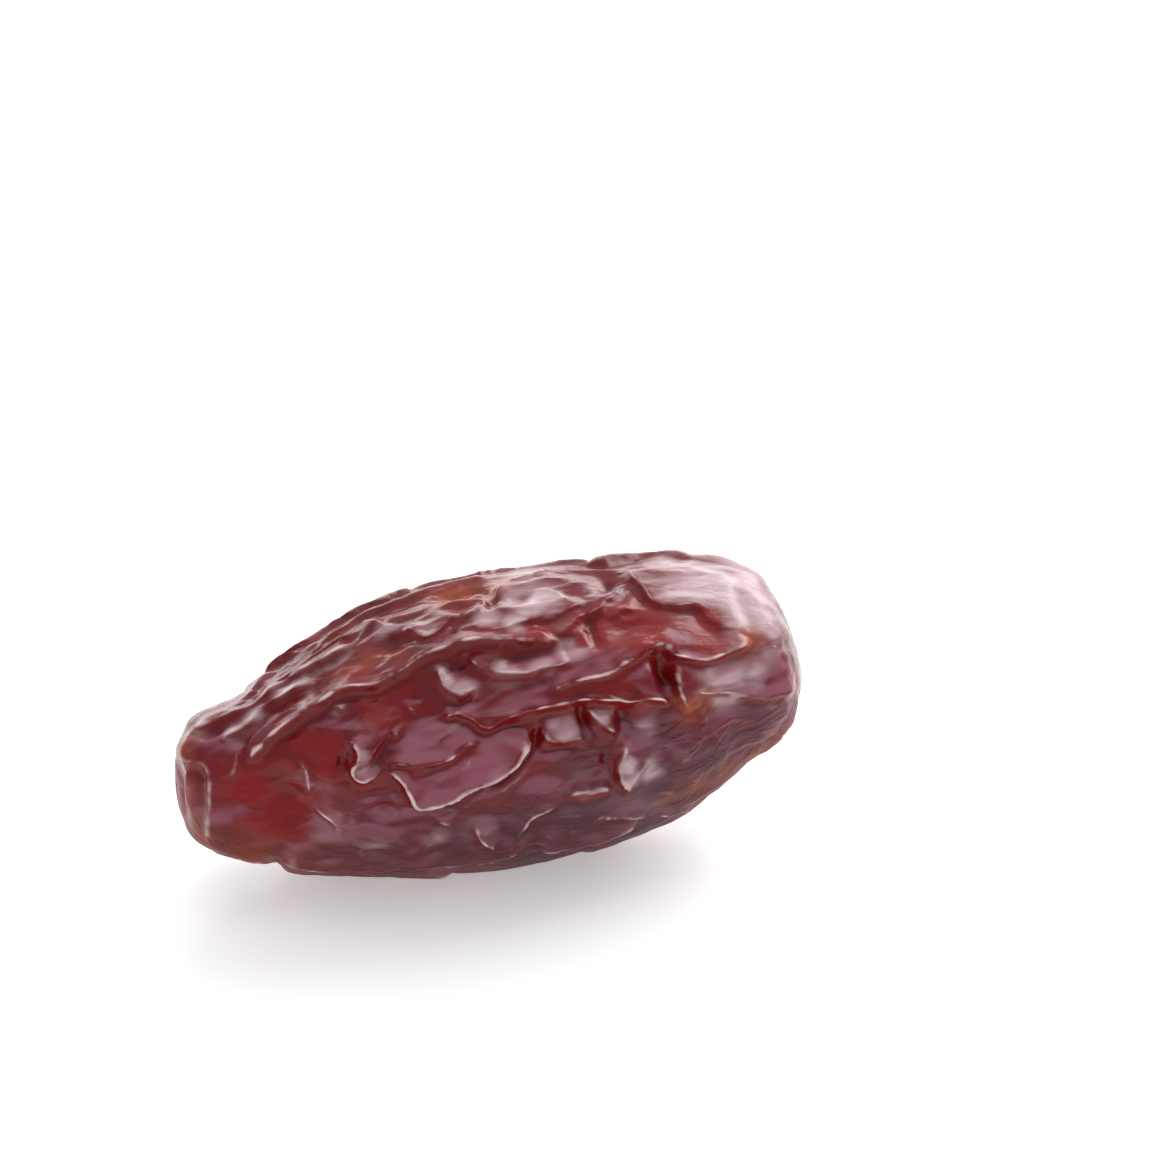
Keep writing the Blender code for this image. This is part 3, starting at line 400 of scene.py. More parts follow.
def nearness(x, turn, reach, skin):
    """How near places on the skin lie to one place on it: 1 there, and fading round it."""
    return np.exp(-np.square(off_from(x, turn, skin)).sum(axis=1) / reach**2)


def outward(x, turn):
    """Directions square to the plump outline."""
    small = 0.05
    inner = np.clip(x, -LENGTH / 2 + small, LENGTH / 2 - small)
    along = plump(inner + small, turn) - plump(inner - small, turn)
    round_about = plump(inner, turn + 0.5) - plump(inner, turn - 0.5)
    normal = np.cross(along, round_about)
    normal[..., 0] += np.sign(x) * 1e-9
    size = np.linalg.norm(normal, axis=-1, keepdims=True)
    tip = (np.abs(x) > LENGTH / 2 - small)[..., None]
    ends = np.stack((np.sign(x), np.zeros_like(x), np.zeros_like(x)), axis=-1)
    return np.where(tip, ends, normal / size)


def follow(route):
    """A smooth line over the skin through a route's places, at an even step."""
    places = np.array(route, dtype=float)
    ends = (2 * places[:1] - places[1:2], places, 2 * places[-1:] - places[-2:-1])
    knots = np.concatenate(ends)
    t = np.linspace(0.0, 1.0, CURVE_POINTS, endpoint=False)[:, None]
    runs = []
    for a, b, c, d in zip(knots, knots[1:], knots[2:], knots[3:]):
        bend = 2 * a - 5 * b + 4 * c - d
        twist = 3 * b - a - 3 * c + d
        runs.append((2 * b + (c - a) * t + bend * t**2 + twist * t**3) / 2)
    fine = np.concatenate(runs + [places[-1:]])
    points = plump(fine[:, 0], fine[:, 1])
    gaps = np.linalg.norm(np.diff(points, axis=0), axis=1)
    travelled = np.concatenate(([0.0], np.cumsum(gaps)))
    steps = np.arange(0.0, travelled[-1], STEP)
    x = np.interp(steps, travelled, fine[:, 0])
    turn = np.interp(steps, travelled, fine[:, 1])
    return x, turn, steps


def offset_from(route, skin, reach):
    """For skin points near a route: which they are, how far to its left, how faded towards
    its ends, and the way left."""
    x, turn, steps = follow(route)
    line = plump(x, turn)
    ahead = np.gradient(line, axis=0)
    ahead /= np.linalg.norm(ahead, axis=1, keepdims=True)
    left = np.cross(outward(x, turn), ahead)
    low = line.min(axis=0) - reach
    high = line.max(axis=0) + reach
    near = np.flatnonzero(np.all((skin > low) & (skin < high), axis=1))
    nearest = np.zeros(len(near), dtype=int)
    for start in range(0, len(near), BLOCK):
        block = skin[near[start:start + BLOCK]]
        apart = ((block[:, None] - line[None]) ** 2).sum(axis=2)
        nearest[start:start + BLOCK] = apart.argmin(axis=1)
    gap = skin[near] - line[nearest]
    sideways = (gap * left[nearest]).sum(axis=1)
    distance = np.linalg.norm(gap, axis=1)
    sideways = np.where(sideways < 0.0, -distance, distance)
    taper = min(END_TAPER, TAPER_MOST * steps[-1])
    along = steps[nearest]
    fade = smooth_step(along / taper) * smooth_step((steps[-1] - along) / taper)
    return near, sideways, fade, left[nearest]


def drawn_fold(rng, heights, width, sides, xs, turns):
    """A fold along a drawn route, with its side and its height drawn too."""
    side = int(rng.choice(sides))
    return rng.uniform(*heights), width, side, tuple(zip(xs, turns))


def lane_folds(rng):
    """Hooked, wandering ridges, one after another along each lane of the hidden side."""
    folds = []
    for lane in np.linspace(LANE_FIRST, LANE_LAST, LANES):
        x = LANE_SPAN[0] + rng.uniform(0.0, LANE_START)
        while x < LANE_SPAN[1] - LANE_LEAST:
            length = rng.uniform(*LANE_LENGTH)
            count = int(length / LANE_STEP) + 2
            part = np.linspace(0.0, 1.0, count)
            drift = np.cumsum(rng.normal(0.0, LANE_DRIFT, count))
            hook = rng.choice((-1.0, 1.0)) * rng.uniform(*LANE_HOOK)
            hook = hook * np.clip(part * 4.0 - 3.0, 0.0, 1.0)
            xs = np.minimum(x + part * length, LANE_SPAN[1])
            turns = lane + rng.uniform(-LANE_SWAY, LANE_SWAY) + drift - drift.mean() + hook
            width = rng.choice((NARROW, MEDIUM, BROAD))
            folds.append(drawn_fold(rng, LANE_HEIGHT, width, (-1, 1), xs, turns))
            x += length - rng.uniform(*LANE_OVERLAP)
    return folds


def link_folds(rng):
    """Short folds that cross from one lane to the next."""
    folds = []
    spacing = (LANE_LAST - LANE_FIRST) / (LANES - 1)
    part = np.linspace(0.0, 1.0, SHORT_PLACES)
    for _ in range(LINKS):
        xs = rng.uniform(*LINK_X) + rng.uniform(*LINK_SLANT) * part
        xs = xs + rng.normal(0.0, LINK_WANDER, SHORT_PLACES)
        turns = rng.uniform(LANE_FIRST, LANE_LAST - spacing) + spacing * part
        folds.append(drawn_fold(rng, LINK_HEIGHT, NARROW, (-1, 1), xs, turns))
    return folds


def end_folds(rng):
    """Folds that run together at the two ends of the hidden side."""
    folds = []
    for first, last in END_FOLDS:
        for lane in np.linspace(LANE_FIRST + END_INSET, LANE_LAST - END_INSET, END_LANES):
            xs = np.linspace(first, last + rng.uniform(-END_STRAY, END_STRAY), END_PLACES)
            turns = lane + rng.uniform(-LANE_SWAY, LANE_SWAY)
            turns = turns + np.cumsum(rng.normal(0.0, END_DRIFT, END_PLACES))
            folds.append(drawn_fold(rng, END_HEIGHT, MEDIUM, (-1, 1), xs, turns))
    return folds


def small_folds(seed, count, stretch):
    """Short, low, wandering folds, most of them along the fruit."""
    rng = np.random.default_rng(seed)
    folds = []
    for _ in range(count):
        length = rng.uniform(*SMALL_LENGTH)
        slant = rng.normal(0.0, SMALL_SLANT)
        part = np.linspace(-0.5, 0.5, SHORT_PLACES)
        xs = rng.uniform(*SMALL_X) + part * length
        turns = rng.uniform(*stretch) + part * length * slant
        turns = turns + rng.normal(0.0, SMALL_WANDER, SHORT_PLACES)
        folds.append(drawn_fold(rng, SMALL_HEIGHT, THIN, (-1, -1, 1), xs, turns))
    return folds


def all_folds():
    """Every fold of the fruit: those of the front, then those of the hidden side."""
    folds = list(FRONT_FOLDS)
    for seed, count, stretch in SMALL_FOLDS:
        folds += small_folds(seed, count, stretch)
    rng = np.random.default_rng(LANE_SEED)
    return folds + lane_folds(rng) + link_folds(rng) + end_folds(rng)


def waver(skin):
    """The places moved a little this way and that, so that folds do not run too evenly."""
    noise.seed_set(NOISE_SEED)
    moved = skin.copy()
    for reach, spacing in WAVER:
        for index, place in enumerate(skin):
            moved[index] += reach * np.array(noise.noise_vector(Vector(place) / spacing))
    return moved


def fold_profile(steep_way, width):
    """Height across a fold: a ramp up to a thin lip, then a steep face and a groove."""
    up = np.hypot(np.maximum(-steep_way, 0.0), ROUNDING) - ROUNDING
    down = np.maximum(steep_way, 0.0)
    lip = LIP * min(1.0, MEDIUM / width) ** 2
    ramp = np.maximum(1.0 - up / (RAMP * width), 0.0) ** RAMP_EASE
    rise = (1.0 - lip) * ramp + lip * np.exp(-up / LIP_WIDTH)
    face = (1.0 + GROOVE) * np.exp(-((down / STEEP) ** STEEP_EASE))
    groove = GROOVE * np.exp(-((down / GROOVE_WIDTH) ** 2))
    return np.where(steep_way < 0.0, rise, face - groove)


def relief(skin, folds):
    """What the folds, creases and hollows add: how far the skin is raised, how far it is
    sunk, how sharp a crest runs there, and how far it lies under a steep side."""
    raised = np.zeros(len(skin))
    sunk = np.zeros(len(skin))
    crest = np.zeros(len(skin))
    under = np.zeros(len(skin))
    for height, width, side, route in folds:
        near, sideways, fade, _ = offset_from(route, skin, REACH)
        steep_way = sideways * side
        edge = smooth_step((REACH - np.abs(sideways)) / FADE_OUT)
        profile = height * fade * edge * fold_profile(steep_way, width)
        raised[near] += np.maximum(profile, 0.0) ** JOINING
        sunk[near] = np.maximum(sunk[near], -profile)
        line = height * fade * np.exp(-np.square((steep_way + CREST_SHIFT) / CREST_WIDTH))
        crest[near] = np.maximum(crest[near], line)
        below = smooth_step((steep_way - UNDER_FROM) / UNDER_EASE[0])
        below = below * smooth_step((UNDER_TO - steep_way) / UNDER_EASE[1])
        under[near] = np.maximum(under[near], height * fade * below)
    for depth, route in CREASES:
        near, sideways, fade, _ = offset_from(route, skin, CREASE_REACH)
        cut = depth * fade * np.exp(-((sideways / CREASE_WIDTH) ** 2))
        sunk[near] = np.maximum(sunk[near], cut)
        under[near] = np.maximum(under[near], CREASE_SHADE * cut)
    for depth, x, turn, along, around in HOLLOWS:
        off = off_from(x, turn, skin)
        across = np.square(off[:, 1]) + np.square(off[:, 2])
        dip = depth * np.exp(-np.square(off[:, 0] / along) - across / around**2)
        sunk = np.hypot(sunk, dip)
    return raised ** (1.0 / JOINING), sunk, crest, under


def gather(skin, folds):
    """Draw points of the plump outline in to the crests, so that the lips come out crisp."""
    drawn = np.zeros_like(skin)
    moved = waver(skin)
    for _, _, _, route in folds:
        near, sideways, fade, left = offset_from(route, moved, GATHER_FAR)
        pull = -GATHER * sideways * np.exp(-((sideways / GATHER_REACH) ** 2)) * fade
        drawn[near] += left * pull[:, None]
    size = np.linalg.norm(drawn, axis=1, keepdims=True)
    return skin + drawn * np.minimum(1.0, GATHER_MOST / np.maximum(size, 1e-9))


def wrinkles(skin):
    """Small wrinkles: ridged noise, stretched along the fruit and bent here and there."""
    noise.seed_set(NOISE_SEED)
    total = np.zeros(len(skin))
    for height, spacing in WRINKLES:
        scale = Vector((1.0 / (WRINKLE_STRETCH * spacing), 1.0 / spacing, 1.0 / spacing))
        for index, place in enumerate(skin):
            spot = Vector(place) * scale
            bent = spot + WRINKLE_BEND * noise.noise_vector(spot * WRINKLE_BEND_PITCH)
            ridge = WRINKLE_TOP - WRINKLE_FALL * abs(noise.noise(bent))
            total[index] += height * ridge
    for x, turn, reach in SMOOTH_SPOTS:
        total *= 1.0 - SMOOTH_SHARE * nearness(x, turn, reach, skin)
    return total


def slack(skin):
    """Broad, shallow dents where the flesh has shrunk under the skin."""
    rng = np.random.default_rng(DENT_SEED)
    total = np.zeros(len(skin))
    for _ in range(DENT_WAVES):
        wave = rng.normal(0.0, 1.0, 3) * DENT_PITCH
        total += np.sin(skin @ wave + rng.uniform(0.0, 2 * math.pi))
    return DENT_DEPTH * total


def lay_down(points):
    """Tilt the fruit as it lies."""
    tilt = math.radians(TILT)
    turned = points.copy()
    turned[:, 0] = points[:, 0] * math.cos(tilt) - points[:, 2] * math.sin(tilt)
    turned[:, 2] = points[:, 0] * math.sin(tilt) + points[:, 2] * math.cos(tilt)
    return turned


def rest_height():
    """How far the tilted fruit rises so that PRESS of its underside is flattened."""
    x, turn = np.meshgrid(*(np.linspace(*span) for span in UNDERSIDE))
    under = lay_down(plump(x.ravel(), turn.ravel()))
    return -under[:, 2].min() - PRESS


def box_net(across, along):
    """A closed net of even cells: a cube split finely, and more finely along X."""
    net = bmesh.new()
    bmesh.ops.create_cube(net, size=2.0)
    for axis, count in ((0, along), (1, across), (2, across)):
        edges = []
        for edge in net.edges:
            reach = edge.verts[1].co - edge.verts[0].co
            if abs(reach[axis]) > 0.5 * reach.length:
                edges.append(edge)
        bmesh.ops.subdivide_edges(net, edges=edges, cuts=count - 1, use_grid_fill=True)
    return net


def patches(skin, spots):
    """How strongly a list of soft round patches covers each place on the skin."""
    total = np.zeros(len(skin))
    for strength, x, turn, reach in spots:
        total = np.maximum(total, strength * nearness(x, turn, reach, skin))
    return total


def places_of(net):
    """The places of a net's points, as rows of three numbers."""
    return np.array([vert.co for vert in net.verts])


def normals_of(net):
    """Which way each point of a net faces, as rows of three numbers."""
    return np.array([vert.normal for vert in net.verts])


def neighbours(net):
    """Which points of the net are joined: two lists, each joined pair once either way."""
    net.verts.index_update()
    pairs = np.array([[edge.verts[0].index, edge.verts[1].index] for edge in net.edges])
    first = np.concatenate((pairs[:, 0], pairs[:, 1]))
    second = np.concatenate((pairs[:, 1], pairs[:, 0]))
    return first, second


def evened(values, ties, rounds):
    """Values on the net's points, each mixed with its neighbours' a few times over."""
    first, second = ties
    count = 1.0 + np.bincount(first, minlength=len(values))
    for _ in range(rounds):
        values = (values + np.bincount(first, weights=values[second], minlength=len(values))) / count
    return values


def standing_out(net, ties, rounds):
    """How far each point stands above its surroundings, or below them: its height over
    copies of the skin that are evened out so many times. In millimetres."""
    places = places_of(net)
    ways = normals_of(net)
    heights = []
    for count in rounds:
        even = np.stack([evened(places[:, axis], ties, count) for axis in range(3)], axis=1)
        heights.append(((places - even) * ways).sum(axis=1))
    return heights


def lay_out(net):
    """Where each point of the net falls on the fruit: x and turn."""
    spread = np.tan(places_of(net) * math.pi / 4)
    spread /= np.linalg.norm(spread, axis=1, keepdims=True)
    around = np.arctan2(spread[:, 2], -spread[:, 1])
    turn = np.degrees(around - FRONT_SHARE * np.sin(around - math.radians(FRONT_TURN)))
    return spread[:, 0] * LENGTH / 2, turn


def smooth_off(net):
    """Even the net out a little, which takes the saw teeth off the crests."""
    for _ in range(EVEN_OUT):
        bmesh.ops.smooth_vert(
            net, verts=net.verts, factor=0.5, use_axis_x=True, use_axis_y=True, use_axis_z=True
        )
    net.normal_update()


def marks_for(net, skin, outline_up, reliefs):
    """What the finish needs to know about each point of the skin: how it lies on the
    folds, how it faces, and how much of each patch of colour it has."""
    crest, under, wrinkled = reliefs
    ties = neighbours(net)
    facing = normals_of(net)[:, 2] - outline_up
    lip, crown = standing_out(net, ties, CROWN_ROUNDS)
    hidden = smooth_step((skin[:, 1] - HIDDEN_FROM) / HIDDEN_OVER)
    far_end = smooth_step((skin[:, 0] - FAR_END[0]) / FAR_END[1])
    hidden = np.maximum(hidden, FAR_END_SHARE * far_end)
    towards_end = smooth_step((skin[:, 0] - FAINT_END[0]) / FAINT_END[1])
    fainter = (1.0 - FAINT_BEHIND * hidden) * (1.0 - FAINT_END_SHARE * towards_end)
    marks = {name: patches(skin, spots) for name, spots in COLOUR_SPOTS.items()}
    marks.update({
        "lip": evened(lip, ties, LIP_ROUNDS) * fainter,
        "crown": crown,
        "crest": evened(crest, ties, MARK_ROUNDS) * fainter,
        "under": evened(under, ties, MARK_ROUNDS),
        "wrinkle": wrinkled,
        "facing": evened(facing, ties, MARK_ROUNDS),
        "hidden": hidden,
        "belly": smooth_step((BELLY_FROM - outline_up) / BELLY_OVER),
    })
    return marks


def shape_skin(net):
    """Draw the net over the fruit: round, then plump, then folded, then laid down.
    Gives what the finish needs to know about each point of it."""
    folds = all_folds()
    drawn = gather(plump(*lay_out(net)), folds)
    x = np.clip(drawn[:, 0], -LENGTH / 2, LENGTH / 2)
    turn = np.degrees(np.arctan2(drawn[:, 2], -drawn[:, 1]))
    skin = plump(x, turn)
    lift = rest_height()
    calm = smooth_step((lay_down(skin)[:, 2] + lift + CALM_BELOW) / CALM_OVER)
    raised, sunk, crest, under = relief(waver(skin), folds)
    wrinkled = wrinkles(skin)
    shrunk = SHRINK * smooth_step((FULL_ENDS[1] - np.abs(x)) / (FULL_ENDS[1] - FULL_ENDS[0]))
    height = (raised - sunk - shrunk + slack(skin) + wrinkled) * calm
    square = outward(x, turn)
    folded = lay_down(skin + square * height[:, None])
    folded[:, 2] = np.maximum(folded[:, 2] + lift, 0.0)
    for vert, place in zip(net.verts, folded):
        vert.co = place
    smooth_off(net)
    return marks_for(net, skin, lay_down(square)[:, 2], (crest, under, wrinkled))


def centre_on_origin(net):
    """Bring the middle of the fruit's footprint over the origin."""
    places = places_of(net)
    middle = (places.min(axis=0) + places.max(axis=0)) / 2
    bmesh.ops.translate(net, vec=(-middle[0], -middle[1], 0.0), verts=net.verts)


def put_in_scene(name, data):
    """A new object for a mesh, lamp or camera, in the scene."""
    thing = bpy.data.objects.new(name, data)
    bpy.context.scene.collection.objects.link(thing)
    return thing


def mesh_of(net, name):
    """The net as a mesh; the net itself is given up."""
    mesh = bpy.data.meshes.new(name)
    net.to_mesh(mesh)
    net.free()
    return mesh


def make_skin():
    """The whole fruit as one fine closed skin, with what its finish needs on each point."""
    net = box_net(CELLS, CELLS_ALONG)
    marks = shape_skin(net)
    centre_on_origin(net)
    bmesh.ops.scale(net, vec=(MM, MM, MM), verts=net.verts)
    bmesh.ops.recalc_face_normals(net, faces=net.faces)
    mesh = mesh_of(net, "date_skin")
    mesh.shade_smooth()
    for name, values in marks.items():
        layer = mesh.attributes.new(name, "FLOAT", "POINT")
        layer.data.foreach_set("value", values.astype(np.float32))
    return put_in_scene("date_skin", mesh)


class Finish:
    """A material under construction, with short ways to add and join its nodes."""

    def __init__(self, name):
        self.material = bpy.data.materials.new(name)
        self.material.use_nodes = True
        self.tree = self.material.node_tree
        self.shader = self.tree.nodes["Principled BSDF"]

    def new(self, kind):
        """A new node."""
        return self.tree.nodes.new("ShaderNode" + kind)

    def fill(self, node, inputs):
        """Feed a node's inputs from other nodes, or set them to numbers or colours."""
        for name, value in inputs.items():
            if isinstance(value, bpy.types.NodeSocket):
                self.tree.links.new(value, node.inputs[name])
            else:
                node.inputs[name].default_value = value
        return node.outputs

    def mark(self, name):
        """What is stored under a name on each point of the skin."""
        node = self.new("Attribute")
        node.attribute_name = name
        return node.outputs["Fac"]

    def pattern(self, name):
        """Soft noise on Object coordinates, as the table of patterns gives it."""
        stretch, spacing, detail, rough, twist = PATTERNS[name]
        where = self.new("TexCoord").outputs["Object"]
        place = self.fill(self.new("Mapping"), {"Vector": where, "Scale": stretch})["Vector"]
        inputs = {"Vector": place, "Scale": 1.0 / (spacing * MM)}
        inputs.update({"Detail": detail, "Roughness": rough, "Distortion": twist})
        return self.fill(self.new("TexNoise"), inputs)["Fac"]

    def mask(self, name, value):
        """A value eased from one range to another, as the table of masks gives them."""
        node = self.new("MapRange")
        node.interpolation_type = "SMOOTHSTEP"
        inputs = dict(zip(("From Min", "From Max", "To Min", "To Max"), MASKS[name]))
        inputs["Value"] = value
        return self.fill(node, inputs)["Result"]

    def veil(self, name):
        """A pattern eased by the mask of the same name."""
        return self.mask(name, self.pattern(name))

    def layer(self, name):
        """A mark eased by the mask of the same name."""
        return self.mask(name, self.mark(name))

    def math(self, operation, first, second=0.0):
        """One step of arithmetic."""
        node = self.new("Math")
        node.operation = operation
        return self.fill(node, {0: first, 1: second})[0]

    def times(self, *values):
        """All the values multiplied."""
        product = values[0]
        for value in values[1:]:
            product = self.math("MULTIPLY", product, value)
        return product

    def blend(self, share, first, second, way="MIX"):
        """Mix two colours, or darken the first by the second."""
        node = self.new("Mix")
        node.data_type = "RGBA"
        node.blend_type = way
        return self.fill(node, {"Factor": share, "A": first, "B": second})["Result"]

    def bump(self, height, size, under=None):
        """Small relief from a height; size is its strength, and its depth in millimetres."""
        inputs = {"Height": height, "Strength": size[0], "Distance": size[1] * MM}
        if under:
            inputs["Normal"] = under
        return self.fill(self.new("Bump"), inputs)["Normal"]


# The skin's colours, as linear light
GLOWING_RED = (0.285, 0.006, 0.005, 1.0)
DEEP_RED = (0.186, 0.006, 0.007, 1.0)
MAROON = (0.093, 0.004, 0.005, 1.0)
# painted shade on steep sides, in creases, under the folds and on facets that face down
PAINTED_SHADE_RED = (0.185, 0.004, 0.004, 1.0)
WINE = (0.175, 0.008, 0.023, 1.0)
# a mauve film on the raised parts, partly a painted sheen
MAUVE_SHEEN = (0.220, 0.032, 0.064, 1.0)
# a whitish waxy bloom, partly a painted highlight
BLOOM_AND_HIGHLIGHT = (0.610, 0.440, 0.470, 1.0)
# a painted amber glow of light through thin edges
AMBER_GLOW = (0.432, 0.094, 0.013, 1.0)
# pale crest lines, partly a painted highlight
PALE_EDGE_AND_HIGHLIGHT = (0.850, 0.700, 0.670, 1.0)
# painted reflection on facets that face up
LIT_FACET_SHEEN = (0.400, 0.140, 0.195, 1.0)
# painted shade on the front, most of it low down
LOW_SHADE_PURPLE = (0.062, 0.019, 0.027, 1.0)
LOW_SHADE_MAUVE = (0.143, 0.060, 0.088, 1.0)
# painted shade of the underside, the hidden side and the broad end
HIDDEN_SHADE = (0.42, 0.31, 0.24, 1.0)

# Patterns: how they are stretched, how far apart their patches lie in millimetres, and
# their detail, roughness and twist
EVEN = (1.0, 1.0, 1.0)
DRAWN_OUT = (0.35, 1.0, 1.0)
PATTERNS = {
    "blush edge": (DRAWN_OUT, 2.2, 3.0, 0.55, 0.8),
    "broad tone": (EVEN, 6.0, 3.0, 0.55, 0.6),
    "streaks": (DRAWN_OUT, 1.1, 5.0, 0.65, 1.2),
    "film": (DRAWN_OUT, 1.5, 6.0, 0.65, 1.0),
    "bloom edge": (DRAWN_OUT, 2.4, 2.5, 0.5, 0.8),
    "amber breaks": (EVEN, 1.6, 3.0, 0.5, 0.0),
    "line breaks": (EVEN, 2.2, 2.0, 0.5, 0.0),
    "fine lines": (EVEN, 4.0, 2.0, 0.5, 0.0),
    "gloss": (DRAWN_OUT, 3.0, 4.0, 0.6, 0.0),
    "creping": (DRAWN_OUT, 0.9, 4.0, 0.55, 0.8),
    "grain": (EVEN, 0.28, 2.0, 0.6, 0.0),
    "crinkles": ((0.45, 1.0, 1.0), 2.2, 2.0, 0.5, 1.2),
}
NOISE_MIDDLE = 0.5        # the value that a pattern swings about

# Masks: the two readings that a pattern or a mark is eased between, and what it becomes
MASKS = {
    "blush edge": (0.30, 0.70, -0.28, 0.22),
    "blush": (0.10, 0.90, 0.0, 1.0),
    "broad tone": (0.35, 0.65, 0.0, 1.0),
    "streaks": (0.42, 0.68, 0.0, 0.75),
    "valley shade": (-0.04, -0.30, 0.0, 0.75),
    "film": (0.40, 0.66, 0.05, 1.0),
    "film on top": (0.0, 0.30, 0.0, 1.0),
    "film off blush": (0.0, 1.0, 0.80, 0.1),
    "bloom edge": (0.30, 0.68, -0.28, 0.18),
    "bloom": (0.15, 0.95, 0.0, 0.88),
    "bloom on top": (-0.22, 0.05, 0.25, 1.0),
    "bloom off blush": (0.15, 0.75, 1.0, 0.1),
    # painted light and shade by how a fold faces: paler facing up, darker red facing down
    "lit facing up": (0.05, 0.34, 0.0, 0.74),
    "facet off blush": (0.0, 0.9, 1.0, 0.0),
    "shaded facing down": (-0.05, -0.35, 0.0, 0.8),
    "under": (0.1, 0.9, 0.0, 0.9),
    "amber breaks": (0.3, 0.6, 0.5, 1.0),
    "line breaks": (0.32, 0.58, 0.45, 1.0),
    "lip": (0.045, 0.12, 0.0, 0.8),
    "crest": (0.13, 0.46, 0.0, 1.0),
    "line on lit side": (-0.80, -0.45, 0.0, 1.0),
    "fine lines": (0.42, 0.62, 0.0, 0.14),
    "wrinkle": (0.075, 0.115, 0.0, 1.0),
    "fine off blush": (0.0, 0.8, 1.0, 0.0),
    "gloss": (0.3, 0.7, 0.17, 0.29),
    "crinkles": (0.0, 0.10, 1.0, 0.0),
    "crinkles off smooth": (0.05, 0.60, 1.0, 0.08),
    "crinkles low": (0.05, 0.60, 0.15, 1.0),
}

# How strongly each layer covers what lies under it
GLOW_SHARE = 0.85
LOW_SHADE_SHARE = 0.75
AMBER_SHARE = 0.72
LINE_SHARE = 0.88
BELLY_SHADE = 0.4
BELLY_DULLER = 0.30       # how much rougher the underside is

# Small relief: its strength, and its depth in millimetres
CREPING = (0.60, 0.11)
GRAIN = (0.20, 0.015)
CRINKLES = (0.50, 0.12)

# Light seeps a little way into the skin: how much, how far by colour, and in metres
SEEP = 0.25
SEEP_BY_COLOUR = (1.0, 0.12, 0.08)
SEEP_DEPTH = 0.0008
SHINE = 0.32


def clear_skin(finish, blush):
    """The skin itself: red to wine with darker streaks, glowing where it is smooth, with painted shade
    in the valleys, and painted shade of a dark greyish purple on the front, most of it low down."""
    tone = finish.veil("broad tone")
    colour = finish.blend(tone, DEEP_RED, WINE)
    streaks = finish.veil("streaks")
    colour = finish.blend(streaks, colour, MAROON)
    colour = finish.blend(finish.times(blush, GLOW_SHARE), colour, GLOWING_RED)
    # painted shade in the valleys
    colour = finish.blend(finish.mask("valley shade", finish.mark("crown")), colour, MAROON)
    # painted shade of a dark greyish purple where the dusk spots lie
    return finish.blend(finish.times(finish.mark("dusk"), LOW_SHADE_SHARE), colour, LOW_SHADE_PURPLE)


def bloom_and_sheen(finish, colour, blush):
    """A mauve waxy film on the raised parts that is partly a painted sheen, and a thick whitish bloom
    in patches that is partly a painted highlight.
    """
    film = finish.veil("film")
    on_top = finish.mask("film on top", finish.mark("crown"))
    film = finish.times(film, on_top, finish.mask("film off blush", blush))
    mauve = finish.blend(finish.mark("dusk"), MAUVE_SHEEN, LOW_SHADE_MAUVE)
    colour = finish.blend(film, colour, mauve)
    patchy = finish.veil("bloom edge")
    thick = finish.mask("bloom", finish.math("ADD", finish.mark("bloom"), patchy))
    on_top = finish.mask("bloom on top", finish.mark("crown"))
    thick = finish.times(thick, on_top, finish.mask("bloom off blush", blush))
    return finish.blend(thick, colour, BLOOM_AND_HIGHLIGHT)


def facet_light_and_shade(finish, colour, blush):
    """Painted light and shade on the folds: paler where a fold faces up, as a painted reflection, and a
    clear red as painted shade on its steep side and under it.
    """
    lit = finish.mask("lit facing up", finish.mark("facing"))
    lit = finish.times(lit, finish.mask("facet off blush", blush))
    lit_colour = finish.blend(finish.mark("dusk"), LIT_FACET_SHEEN, LOW_SHADE_MAUVE)
    colour = finish.blend(lit, colour, lit_colour)
    colour = finish.blend(finish.mask("shaded facing down", finish.mark("facing")), colour, PAINTED_SHADE_RED)
    # painted shade under the steep sides and in the creases
    return finish.blend(finish.layer("under"), colour, PAINTED_SHADE_RED)


def amber_glow(finish, colour):
    """A painted amber glow where the skin is thin enough for light to come through."""
    breaks = finish.veil("amber breaks")
    thin = finish.times(finish.mark("amber"), breaks, AMBER_SHARE)
    return finish.blend(thin, colour, AMBER_GLOW)


def pale_lines(finish, colour, blush):
    """Pale lines along the crests, broken here and there, and faint ones on the wrinkles: partly paler
    skin on the edges, partly a painted highlight, left out where a fold faces down.
    """
    lip = finish.layer("lip")
    edge = finish.math("MAXIMUM", lip, finish.layer("crest"))
    breaks = finish.veil("line breaks")
    on_lit_side = finish.mask("line on lit side", finish.mark("facing"))
    line = finish.times(edge, breaks, LINE_SHARE, on_lit_side)
    fine = finish.layer("wrinkle")
    here = finish.veil("fine lines")
    fine = finish.times(fine, here, finish.mask("fine off blush", blush))
    return finish.blend(finish.math("MAXIMUM", line, fine), colour, PALE_EDGE_AND_HIGHLIGHT)


def small_relief(finish, blush):
    """Fine creping and grain all over, and shallow crinkles low on the fruit."""
    normal = finish.bump(finish.pattern("creping"), CREPING)
    normal = finish.bump(finish.pattern("grain"), GRAIN, normal)
    swing = finish.math("SUBTRACT", finish.pattern("crinkles"), NOISE_MIDDLE)
    ridges = finish.mask("crinkles", finish.math("ABSOLUTE", swing))
    smooth = finish.math("MAXIMUM", finish.mark("bloom"), blush)
    low = finish.math("MAXIMUM", finish.mark("belly"), finish.mark("dusk"))
    rough = finish.mask("crinkles off smooth", smooth)
    ridges = finish.times(ridges, rough, finish.mask("crinkles low", low))
    return finish.bump(ridges, CRINKLES, normal)


